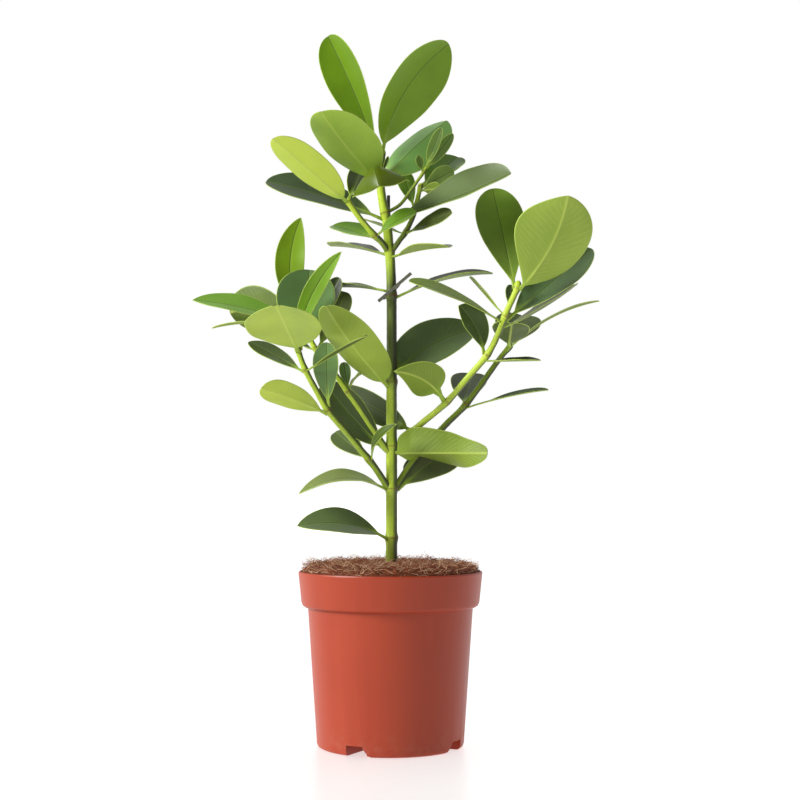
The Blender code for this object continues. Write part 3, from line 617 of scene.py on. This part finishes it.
def stem_recipe():
    """Runs a round tube along every line, with soft bumps of bark."""
    recipe = Recipe("stem_tubes", {"Sides": int, "Bark Bump": float, "Material": str})
    curve = recipe.node("GeometryNodeMeshToCurve", None, {"Mesh": recipe.given("Geometry")})
    ring = recipe.node("GeometryNodeCurvePrimitiveCircle", None, {
        "Resolution": recipe.given("Sides"), "Radius": 1.0})
    tubes = recipe.node("GeometryNodeCurveToMesh", None, {
        "Curve": curve, "Profile Curve": ring, "Scale": recipe.told("girth"), "Fill Caps": True})
    lumps = recipe.node("ShaderNodeTexNoise", None, {"Scale": 160.0, "Detail": 1.0})
    normal = recipe.node("GeometryNodeInputNormal")
    side = recipe.node("ShaderNodeSeparateXYZ", None, {"Vector": normal}, "X")
    # Each point keeps its facing along X, which the bark finish turns into painted shade on the +X
    # side
    tubes = recipe.keep(tubes, "shade_side", side)
    push = (lumps - 0.5) * recipe.given("Bark Bump")
    offset = recipe.node("ShaderNodeVectorMath", {"operation": "SCALE"}, {
        "Vector": normal, "Scale": push})
    tubes = recipe.node("GeometryNodeSetPosition", None, {"Geometry": tubes, "Offset": offset})
    return recipe.finish(tubes)


def leaf_options(row):
    options = dict(LEAF_DEFAULTS, stalk=min(PETIOLE_HALF, PETIOLE_LEAST + row[3] * PETIOLE_SHARE))
    options.update(row[5])
    return options


def leaf_axes(root, tip, face, options, t):
    """Points, sides and normals of a leaf's middle line at shares t of its length."""
    chord = tip - root
    length = np.linalg.norm(chord)
    along = chord / length
    up = np.array(face, float)
    up -= along * up.dot(along)
    up /= np.linalg.norm(up)
    bend = (up * options["arch"] + np.cross(along, up) * options["sway"]) * length
    t = t[:, None]
    points = root + chord * t + bend * (4 * t * (1 - t))
    tangents = chord + bend * (4 - 8 * t)
    tangents /= np.linalg.norm(tangents, axis=1, keepdims=True)
    normals = up - tangents * (tangents @ up)[:, None]
    normals /= np.linalg.norm(normals, axis=1, keepdims=True)
    return points, tangents, np.cross(tangents, normals), normals


def leaf_foot(row, options):
    """Where a leaf leaves its stem, sunk a little into the bark."""
    stem, height, tip, _, face, _ = row
    middle, direction, radius = point_on_stem(stem, height)
    root = np.array(middle)
    direction = np.array(direction)
    for _ in range(4):
        tangent = leaf_axes(root, np.array(tip, float), face, options, np.zeros(1))[1][0]
        outward = tangent - direction * tangent.dot(direction)
        outward /= np.linalg.norm(outward)
        root = np.array(middle) + outward * max(radius - FOOT_SINK, 0)
    return root


def half_width(share, width, foot, point):
    """Obovate outline: foot and point say how fast it narrows at its two ends."""
    peak = foot / (foot + point)
    share = np.clip(share, 0, 1)
    return width / 2 * (share / peak) ** foot * ((1 - share) / (1 - peak)) ** point


def step_up(low, high, value):
    """Rises smoothly from 0 at low to 1 at high."""
    share = np.clip((value - low) / (high - low), 0, 1)
    return share * share * (3 - 2 * share)


def leaf_surface(row, seed):
    """Rings of one leaf from foot to tip, with the numbers that its points carry."""
    _, _, tip, width, face, _ = row
    options = leaf_options(row)
    root = leaf_foot(row, options)
    stalk = options["stalk"]
    start = options["petiole"]
    turn = np.linspace(0, math.pi, LEAF_STATIONS)
    share = (1 - np.cos(turn)) / 2
    t = np.concatenate([[0, start * 0.5], start + (1 - start) * share[1:-1], [LAST_RING]])
    points, _, sides, normals = leaf_axes(root, np.array(tip, float), face, options, t)
    blade = half_width((t - start) / (1 - start), width, options["foot"], options["point"])
    flare = 1 + FOOT_FLARE * (1 - step_up(0, start * 0.9, t))
    half = (blade ** 4 + (stalk * flare * (1 - step_up(0.5, 1, t))) ** 4) ** 0.25
    twist = np.radians(options["twist"]) * (t - 0.3)
    cos, sin = np.cos(twist)[:, None], np.sin(twist)[:, None]
    sides, normals = sides * cos + normals * sin, normals * cos - sides * sin

    q = np.array([-a for a in LEAF_ACROSS[:0:-1]] + list(LEAF_ACROSS))
    spread = np.minimum(1, t / FLAT_FOOT)[:, None]
    fold = options["fold"] * (1 - options["flat_tip"] * step_up(*FLAT_TIP, t))[:, None]
    wide = half[:, None]
    rise = wide * spread * (fold * np.abs(q) + options["cup"] * q ** 2)
    chance = np.random.default_rng(seed)
    waves = np.sin(2 * math.pi * (chance.uniform(*WAVES_ALONG) * t[:, None] + np.sign(q) * 0.2
                                  + chance.uniform(0, 1)))
    calm = step_up(*WAVES_FROM, t)[:, None]
    rise += options["ripple"] * waves * q ** 2 * calm * wide / WAVE_PART
    middle = points[:, None] + sides[:, None] * (wide * q)[..., None]
    middle += normals[:, None] * rise[..., None]

    rib = np.abs(wide * q)
    edge = wide * (1 - np.abs(q))
    rounding = np.sqrt(1 - (1 - np.clip(edge / LEAF_ROUNDING, 0, 1)) ** 2)
    petiole = (1 - step_up(start * 0.6, start + 0.14, t))[:, None]
    round_stalk = stalk * PETIOLE_CROWN * np.sqrt(np.maximum(1 - q ** 2, 0))
    fade = (1 - 0.75 * t)[:, None]
    ridge = RIB_HEIGHT * fade * np.exp(-(rib / RIB_HALF) ** 2)
    groove = GROOVE_DEPTH * fade * np.exp(-(rib / GROOVE_HALF) ** 2)
    above = petiole * round_stalk + (1 - petiole) * (LEAF_EDGE * rounding - groove)
    below = petiole * round_stalk + (1 - petiole) * (LEAF_EDGE * rounding + ridge)
    top = middle + normals[:, None] * above[..., None]
    under = middle - normals[:, None] * below[..., None]
    count = len(q)
    ring = np.concatenate([top, under[:, 1:-1][:, ::-1]], axis=1)
    size = ring.shape[1]
    faces = []
    for i in range(len(t) - 1):
        for j in range(size):
            a = i * size + j
            b = i * size + (j + 1) % size
            faces.append((a, b, b + size, a + size))
    faces.append(tuple(range(size))[::-1])
    faces.append(tuple(range((len(t) - 1) * size, len(t) * size)))

    def around(values, low=None):
        values = np.broadcast_to(values, (len(t), count))
        low = values if low is None else np.broadcast_to(low, (len(t), count))
        return np.concatenate([values, low[:, 1:-1][:, ::-1]], axis=1).ravel()

    numbers = {
        "along": around(((t - start) / (1 - start))[:, None]),
        "across": around(np.abs(q)[None]),
        "rib": around(rib),
        "edge": around(edge),
        "lower_side": around(np.where(np.abs(q) == 1, 0.5, 0.0)[None], np.ones((1, count))),
        "petiole": around(petiole),
    }
    for title in WHOLE_LEAF:
        numbers[title] = np.full(len(t) * size, options[title])
    return ring.reshape(-1, 3), faces, numbers


def leaf_piece(name, rows, material):
    """Joins the leaves of one stem into one piece."""
    points = []
    faces = []
    numbers = {}
    first = 0
    for seed, row in rows:
        leaf_points, leaf_faces, leaf_numbers = leaf_surface(row, seed)
        points.append(leaf_points)
        faces += [tuple(i + first for i in face) for face in leaf_faces]
        for title, values in leaf_numbers.items():
            numbers.setdefault(title, []).append(values)
        first += len(leaf_points)
    numbers = {title: np.concatenate(values) for title, values in numbers.items()}
    piece = add_piece(name, np.concatenate(points), faces, numbers, material)
    turn_outwards(piece.data)
    return piece


def leaf_finish():
    """Leathery leaf: green above, lime below, pale rib, thin margin, and painted shade in the
    rib's groove with a painted highlight beside it.
    """
    leaf = Finish("leaf_skin", 0.26)
    under = leaf.told("lower_side").band(0.25, 0.6)
    along = leaf.told("along")
    across = leaf.told("across")
    rib = leaf.told("rib")
    quilt = leaf.told("quilt")
    wander = leaf.speckle(45.0, 2.0)
    vein = ((along - across * 0.22 + wander * 0.07) * 17).part()
    pillow = (vein - 0.5).size()
    inside = across.band(0.02, 0.15) * across.band(1.0, 0.8) * along.band(0.0, 0.12)
    vein = pillow.band(0.34, 0.5) * inside * leaf.speckle(80.0, 1.0).band(0.3, 0.6)
    mottle = leaf.speckle(60.0, 4.0, 0.6)
    patch = leaf.speckle(16.0, 1.0)
    tone = leaf.told("top") + (patch - 0.5) * 0.3 + (mottle - 0.5) * 0.1
    top = leaf.ramp(tone, [
        (0.0, (0.013, 0.020, 0.011)), (0.25, (0.036, 0.054, 0.026)),
        (0.5, (0.080, 0.125, 0.054)), (0.75, (0.13, 0.235, 0.072)),
        (1.0, (0.21, 0.42, 0.10))])
    top = leaf.blend(vein * (0.07 + quilt * 0.15), top, (0.30, 0.42, 0.08))
    foot = along.band(0.35, 0.0)
    top = leaf.blend(leaf.told("fresh"), top, (1.0, 1.0, 0.12), "MULTIPLY")
    top = leaf.blend(leaf.told("warm"), top, (1.6, 1.0, 1.0), "MULTIPLY")
    # Pale band along the rib: the real pale midrib near the foot, and further out a faint painted
    # highlight beside the groove
    top = leaf.blend(rib.band(2.0, 0.8) * (0.12 + foot * 0.6), top, (0.34, 0.50, 0.07))
    # Painted shade: a thin dark line in the rib's groove on the upper side, weaker near the foot
    top = leaf.blend(rib.band(0.6, 0.2) * (0.65 - foot * 0.4), top, (0.018, 0.032, 0.008))
    tone = leaf.told("under") + (patch - 0.5) * 0.3 + (mottle - 0.5) * 0.12
    below = leaf.ramp(tone, [
        (0.0, (0.045, 0.065, 0.02)), (0.25, (0.11, 0.165, 0.03)), (0.5, (0.22, 0.32, 0.035)),
        (0.75, (0.37, 0.50, 0.07)), (1.0, (0.65, 0.80, 0.10))])
    below = leaf.blend(leaf.told("fresh"), below, (0.82, 1.0, 0.9), "MULTIPLY")
    below = leaf.blend(vein * (0.12 + quilt * 0.3), below, (0.60, 0.68, 0.20))
    below = leaf.blend(rib.band(1.5, 0.5) * (0.55 + foot * 0.3), below, (0.58, 0.70, 0.13))
    skin = leaf.blend(under, top, below)
    skin = leaf.blend(leaf.told("edge").band(0.85, 0.4) * 0.85, skin, (0.50, 0.64, 0.12))
    skin = leaf.blend(leaf.told("petiole") * 0.8, skin, (0.36, 0.52, 0.06))
    leaf.colour(skin)
    leaf.rough(0.32 + under * 0.16 + (mottle - 0.5) * 0.12)
    leaf.relief(pillow * inside * (0.1 + quilt * 1.6) + mottle * 0.12, 0.5 * MM, 0.32)
    return leaf.material


def stem_finish():
    """Young bark: lime to dark olive, with fine streaks, a brown line at each node and painted
    shade on the side facing +X.
    """
    stem = Finish("young_bark", 0.45)
    streak = stem.speckle(220.0, 3.0, 0.6, (1, 1, 0.12))
    patch = stem.speckle(30.0, 2.0)
    tone = stem.told("bark") + (patch - 0.5) * 0.3 + (streak - 0.5) * 0.25
    # Painted shade: the bark is made darker on the side facing +X, away from the key light
    tone = tone + 0.06 - stem.told("shade_side").band(0.1, 0.75) * 0.62
    bark = stem.ramp(tone, [
        (0.0, (0.04, 0.05, 0.02)), (0.35, (0.10, 0.135, 0.026)), (0.7, (0.28, 0.40, 0.03)),
        (1.0, (0.60, 0.78, 0.05))])
    spots = stem.speckle(700.0, 1.0).band(0.62, 0.72)
    bark = stem.blend(spots * 0.4, bark, (0.20, 0.14, 0.06))
    scar = stem.told("scar")
    broken = stem.speckle(260.0, 2.0).band(0.35, 0.65)
    bark = stem.blend(scar * (0.35 + broken * 0.5), bark, (0.17, 0.055, 0.025))
    stem.colour(bark)
    stem.rough(0.42 + (streak - 0.5) * 0.2)
    stem.relief(streak * 0.6 - scar * 0.6, 0.3 * MM, 0.6)
    return stem.material


def pot_finish():
    """Moulded terracotta red plastic: satin, faintly uneven, a little dull at the foot."""
    pot = Finish("terracotta_plastic", 0.4)
    cloud = pot.speckle(18.0, 3.0)
    flow = pot.speckle(60.0, 2.0, 0.5, (1, 1, 0.08))
    plastic = pot.ramp(cloud * 0.5 + flow * 0.5, [
        (0.3, (0.37, 0.043, 0.0135)), (0.7, (0.415, 0.052, 0.0165))])
    height = pot.node("ShaderNodeSeparateXYZ", None, {"Vector": pot.place}, "Z")
    dust = height.band(0.03, 0.0) * pot.speckle(90.0, 4.0, 0.6).band(0.45, 0.7)
    plastic = pot.blend(dust * 0.18, plastic, (0.45, 0.24, 0.16))
    pot.colour(plastic)
    pot.rough(0.40 + (cloud - 0.5) * 0.16 + dust * 0.2)
    pot.relief(pot.speckle(900.0, 2.0) * 0.6 + flow * 0.4, 0.12 * MM, 0.35)
    return pot.material


def peat_finish():
    """Dark crumbly peat with pale root threads."""
    peat = Finish("peat", 0.2)
    crumb = peat.speckle(420.0, 6.0, 0.7)
    threads = (peat.speckle(70.0, 3.0) - 0.5).size().band(0.02, 0.0)
    soil = peat.ramp(crumb, [(0.3, (0.018, 0.011, 0.008)), (0.7, (0.085, 0.05, 0.032))])
    peat.colour(peat.blend(threads * 0.6, soil, (0.45, 0.36, 0.24)))
    peat.rough(0.85 + crumb * 0.1)
    peat.relief(crumb, 1.2 * MM)
    return peat.material


def coir_finish(name, dark, light):
    """Coconut fibre: reddish brown to tan, each fibre a little different."""
    coir = Finish(name, 0.3)
    fleck = coir.speckle(500.0, 4.0, 0.65)
    tone = coir.told("fibre_tone") + (fleck - 0.5) * 0.4
    middle = tuple(a * 0.75 + b * 0.25 for a, b in zip(dark, light))
    coir.colour(coir.ramp(tone, [(0.1, dark), (0.65, middle), (1.0, light)]))
    coir.rough(0.75 + fleck * 0.15)
    return coir.material


def stake_finish():
    """Dark split-cane stake, streaked along its length."""
    stake = Finish("dark_stake", 0.35)
    grain = stake.speckle(900.0, 4.0, 0.6, (1, 1, 0.05))
    stake.colour(stake.ramp(grain, [(0.3, (0.022, 0.024, 0.018)), (0.7, (0.075, 0.072, 0.05))]))
    stake.rough(0.55 + (grain - 0.5) * 0.3)
    stake.relief(grain, 0.2 * MM, 0.6)
    return stake.material


def tie_finish():
    """Dark grey soft plastic of the plant tie."""
    tie = Finish("tie_plastic", 0.4)
    scuff = tie.speckle(600.0, 3.0)
    tie.colour(tie.ramp(scuff, [(0.3, (0.09, 0.095, 0.065)), (0.75, (0.19, 0.19, 0.13))]))
    tie.rough(0.45 + (scuff - 0.5) * 0.25)
    tie.relief(scuff, 0.08 * MM, 0.5)
    return tie.material


def floor_finish():
    """Pale studio floor with a soft sheen."""
    floor = Finish("pale_floor", 0.25)
    tone = floor.speckle(3.0, 2.0)
    floor.colour(floor.ramp(tone, [(0.3, (0.90, 0.90, 0.90)), (0.7, (0.93, 0.93, 0.93))]))
    floor.rough(0.3 + tone * 0.04)
    away = floor.node("ShaderNodeVectorMath", {"operation": "LENGTH"}, {0: floor.place}, "Value")
    glow = floor.blend(away.band(*FLOOR_FADE), (1.0, 1.0, 1.0), (FLOOR_FAR_GLOW,) * 3)
    floor.feed(floor.shader.inputs["Emission Color"], glow)
    floor.shader.inputs["Emission Strength"].default_value = FLOOR_GLOW
    return floor.material


def coir_bed(material):
    """A crumbly mat of coir over the root ball, lower at the rim and raised at the trunk."""
    points = []
    lumps = []
    for ring in range(COIR_RINGS + 1):
        radius = COIR_RADIUS * ring / COIR_RINGS
        level = np.interp(radius, [r for r, _ in COIR_OUTLINE], [z for _, z in COIR_OUTLINE])
        for step in range(COIR_SPOKES):
            turn = 2 * math.pi * step / COIR_SPOKES
            x = radius * math.cos(turn)
            y = radius * math.sin(turn)
            lump = noise.fractal(Vector((x, y, 0)) * COIR_LUMPS, 1.0, 2.0, 4)
            fade = min(1, (COIR_RADIUS - radius) / COIR_CALM_RIM + 0.15)
            points.append((x, y, level + lump * COIR_LUMP * fade))
            lumps.append(0.45 + lump * 0.35)
    faces = []
    for ring in range(COIR_RINGS):
        for step in range(COIR_SPOKES):
            a = ring * COIR_SPOKES + step
            b = ring * COIR_SPOKES + (step + 1) % COIR_SPOKES
            faces.append((a, a + COIR_SPOKES, b + COIR_SPOKES, b))
    skirt = len(points)
    for step in range(COIR_SPOKES):
        x, y, _ = points[skirt - COIR_SPOKES + step]
        points.append((x * 0.99, y * 0.99, COIR_BOTTOM))
        lumps.append(0.2)
        a = skirt - COIR_SPOKES + step
        b = skirt - COIR_SPOKES + (step + 1) % COIR_SPOKES
        faces.append((a, a + COIR_SPOKES, b + COIR_SPOKES, b))
    faces.append(tuple(range(skirt, skirt + COIR_SPOKES))[::-1])
    bed = add_piece("coir_bed", points, faces, {"fibre_tone": lumps}, material)
    turn_outwards(bed.data, merge=True)
    return bed


def fibre_recipe():
    """Scatters thin curled fibres over a surface, lying or standing up a little."""
    recipe = Recipe("coir_fibres", {
        "Density": float, "Length": float, "Lift": float, "Curl": float, "Thickness": float,
        "Seed": int, "Material": str})
    seed = recipe.given("Seed")
    height = recipe.node("GeometryNodeInputNormal")
    upward = recipe.node("ShaderNodeSeparateXYZ", None, {"Vector": height}, "Z")
    points = recipe.node("GeometryNodeDistributePointsOnFaces", None, {
        "Mesh": recipe.given("Geometry"), "Selection": upward.band(0.3, 0.5),
        "Density": recipe.given("Density"), "Seed": seed})
    points = recipe.keep(points, "fibre_tone", recipe.chance(0.0, 1.0, seed + 1))
    points = recipe.keep(points, "fibre_phase", recipe.chance(0.0, 40.0, seed + 2))
    line = recipe.node("GeometryNodeCurvePrimitiveLine", {"mode": "POINTS"}, {
        "Start": (0, 0, 0), "End": (1, 0, 0)})
    line = recipe.node("GeometryNodeResampleCurve", None, {
        "Curve": line, "Count": FIBRE_POINTS})
    tilt = recipe.chance(0.0, 1.0, seed + 3) ** 2.2 * recipe.given("Lift")
    spin = recipe.vector(0.0, tilt * -1, recipe.chance(0.0, 6.283, seed + 4))
    turned = recipe.node("FunctionNodeEulerToRotation", None, {"Euler": spin})
    long = recipe.given("Length") * recipe.chance(0.45, 1.3, seed + 5)
    fibres = recipe.node("GeometryNodeInstanceOnPoints", None, {
        "Points": points, "Instance": line, "Rotation": turned,
        "Scale": recipe.vector(long, long, long)})
    fibres = recipe.node("GeometryNodeRealizeInstances", None, {"Geometry": fibres})
    way = recipe.node("GeometryNodeSplineParameter", output="Factor")
    wander = recipe.node("ShaderNodeTexNoise", {"noise_dimensions": "4D"}, {
        "Scale": FIBRE_TURN, "Detail": 1.0, "W": recipe.told("fibre_phase")}, "Color")
    wander = recipe.node("ShaderNodeVectorMath", {"operation": "SUBTRACT"}, {
        0: wander, 1: (0.5, 0.5, 0.42)})
    offset = recipe.node("ShaderNodeVectorMath", {"operation": "SCALE"}, {
        "Vector": wander, "Scale": way * recipe.given("Curl")})
    fibres = recipe.node("GeometryNodeSetPosition", None, {"Geometry": fibres, "Offset": offset})
    place = recipe.node("GeometryNodeInputPosition")
    flat = recipe.node("ShaderNodeVectorMath", {"operation": "MULTIPLY"}, {
        0: place, 1: (1, 1, 0)})
    reach = recipe.node("ShaderNodeVectorMath", {"operation": "LENGTH"}, {0: flat}, "Value")
    past = recipe.node("ShaderNodeMath", {"operation": "MAXIMUM"}, {
        0: 1.0 - FIBRE_REACH * MM / reach, 1: 0.0})
    lean = recipe.node("ShaderNodeVectorMath", {"operation": "SCALE"}, {
        "Vector": flat, "Scale": past * -FIBRE_LEAN})
    fibres = recipe.node("GeometryNodeSetPosition", None, {"Geometry": fibres, "Offset": lean})
    girth = recipe.given("Thickness") * (1.1 - way * 0.75)
    profile = recipe.node("GeometryNodeCurvePrimitiveCircle", None, {
        "Resolution": 3, "Radius": 0.5})
    fibres = recipe.node("GeometryNodeCurveToMesh", None, {
        "Curve": fibres, "Profile Curve": profile, "Scale": girth})
    return recipe.finish(fibres)


def pot_piece(material):
    """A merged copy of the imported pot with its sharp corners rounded."""
    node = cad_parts["pot"]
    mesh = node.data.copy()
    shell = bmesh.new()
    shell.from_mesh(mesh)
    bmesh.ops.remove_doubles(shell, verts=shell.verts, dist=MERGE * MM)
    bmesh.ops.dissolve_limit(
        shell, angle_limit=math.radians(POT_FLAT), verts=shell.verts, edges=shell.edges)
    shell.to_mesh(mesh)
    shell.free()
    mesh.name = "pot_shell"
    mesh.materials.clear()
    mesh.materials.append(material)
    piece = into_scene("pot_shell", mesh)
    bevel = piece.modifiers.new("rounded_corners", "BEVEL")
    bevel.width = POT_ROUNDING * MM
    bevel.segments = 2
    bevel.limit_method = "ANGLE"
    bevel.angle_limit = math.radians(POT_CORNER)
    mesh.shade_smooth()
    mesh.set_sharp_from_angle(angle=math.radians(POT_CORNER))
    even = piece.modifiers.new("even_shading", "WEIGHTED_NORMAL")
    even.keep_sharp = True
    return piece


def build_studio():
    """Floor, soft lights, white surroundings and the photograph's camera."""
    floor = add_piece("studio_floor", [(-FLOOR_HALF, -FLOOR_HALF, 0), (FLOOR_HALF, -FLOOR_HALF, 0),
                                       (FLOOR_HALF, FLOOR_HALF, 0), (-FLOOR_HALF, FLOOR_HALF, 0)],
                      [(0, 1, 2, 3)], {}, floor_finish())
    key = bpy.data.lights.new("soft_key", "SUN")
    key.energy = KEY_STRENGTH
    key.angle = math.radians(KEY_SPREAD)
    lamp = into_scene("soft_key", key)
    lamp.rotation_euler = Vector(KEY_FROM).to_track_quat("Z", "Y").to_euler()
    unlit = bpy.data.collections.new("not_lit_by_key")
    unlit.objects.link(floor)
    unlit.collection_objects[0].light_linking.link_state = "EXCLUDE"
    lamp.light_linking.receiver_collection = unlit
    world = bpy.data.worlds.new("white_room")
    world.use_nodes = True
    room = NodeMaker(world.node_tree)
    seen = room.node("ShaderNodeLightPath", output="Is Camera Ray")
    way = room.node("ShaderNodeTexCoord", output="Generated")
    depth = room.node("ShaderNodeSeparateXYZ", None, {"Vector": way}, "Y")
    glow = ROOM_FRONT + depth.band(-0.6, 1.0) * (ROOM_BACK - ROOM_FRONT)
    background = world.node_tree.nodes["Background"].inputs
    room.feed(background["Color"], (1, 1, 1, 1))
    room.feed(background["Strength"], glow + seen * (1.0 - glow))
    bpy.context.scene.world = world
    data = bpy.data.cameras.new("photo_camera")
    data.lens = CAMERA_LENS
    data.sensor_width = SENSOR_WIDTH
    camera = into_scene("photo_camera", data)
    camera.location = Vector(CAMERA_PLACE) * MM
    camera.rotation_euler = (math.radians(90 + CAMERA_TILT), 0, 0)
    bpy.context.scene.camera = camera
    bpy.context.scene.view_settings.view_transform = "Standard"


def coat(node, material):
    """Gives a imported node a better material."""
    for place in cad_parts[node].material_slots:
        place.material = material


def set_on_plant(piece, slot, *nodes):
    """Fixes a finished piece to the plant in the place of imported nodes."""
    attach(piece, "root")
    if nodes:
        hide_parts(*nodes)


build_studio()

leaf_skin = leaf_finish()
for carrier in STEMS:
    names = [name for name, row in LEAVES.items() if row[0] == carrier]
    if names:
        rows = [(sum(map(ord, name)), LEAVES[name]) for name in names]
        set_on_plant(leaf_piece("leaves_" + carrier, rows, leaf_skin), "leaf_dark", *names)
rows = [(sum(map(ord, name)), row) for name, row in YOUNG.items()]
set_on_plant(leaf_piece("leaves_young", rows, leaf_skin), "leaf_lime")

lines = stem_lines()
stems = run_recipe(stem_recipe(), lines, "stem_bark", sides=STEM_SIDES, bark_bump=0.5 * MM,
                   material=stem_finish())
bpy.data.objects.remove(lines)
set_on_plant(stems, "stem", "stems")

bed = coir_bed(coir_finish("coir_mat", (0.085, 0.017, 0.006), (0.40, 0.115, 0.036)))
fibre_coat = coir_finish("coir_fibre", (0.26, 0.06, 0.02), (1.0, 0.70, 0.44))
fibres = fibre_recipe()
short = run_recipe(fibres, bed, "coir_short_fibres", density=COIR_SHORT, length=10 * MM,
                   lift=0.7, curl=7 * MM, thickness=0.5 * MM, seed=3, material=fibre_coat)
tall = run_recipe(fibres, bed, "coir_long_fibres", density=COIR_LONG, length=16 * MM,
                  lift=0.55, curl=13 * MM, thickness=0.42 * MM, seed=11, material=fibre_coat)
set_on_plant(bed, "coir", "coir_top")
set_on_plant(short, "coir")
set_on_plant(tall, "coir")

set_on_plant(pot_piece(pot_finish()), "pot", "pot")
coat("root_ball", peat_finish())
coat("support_stake", stake_finish())
coat("plant_tie", tie_finish())
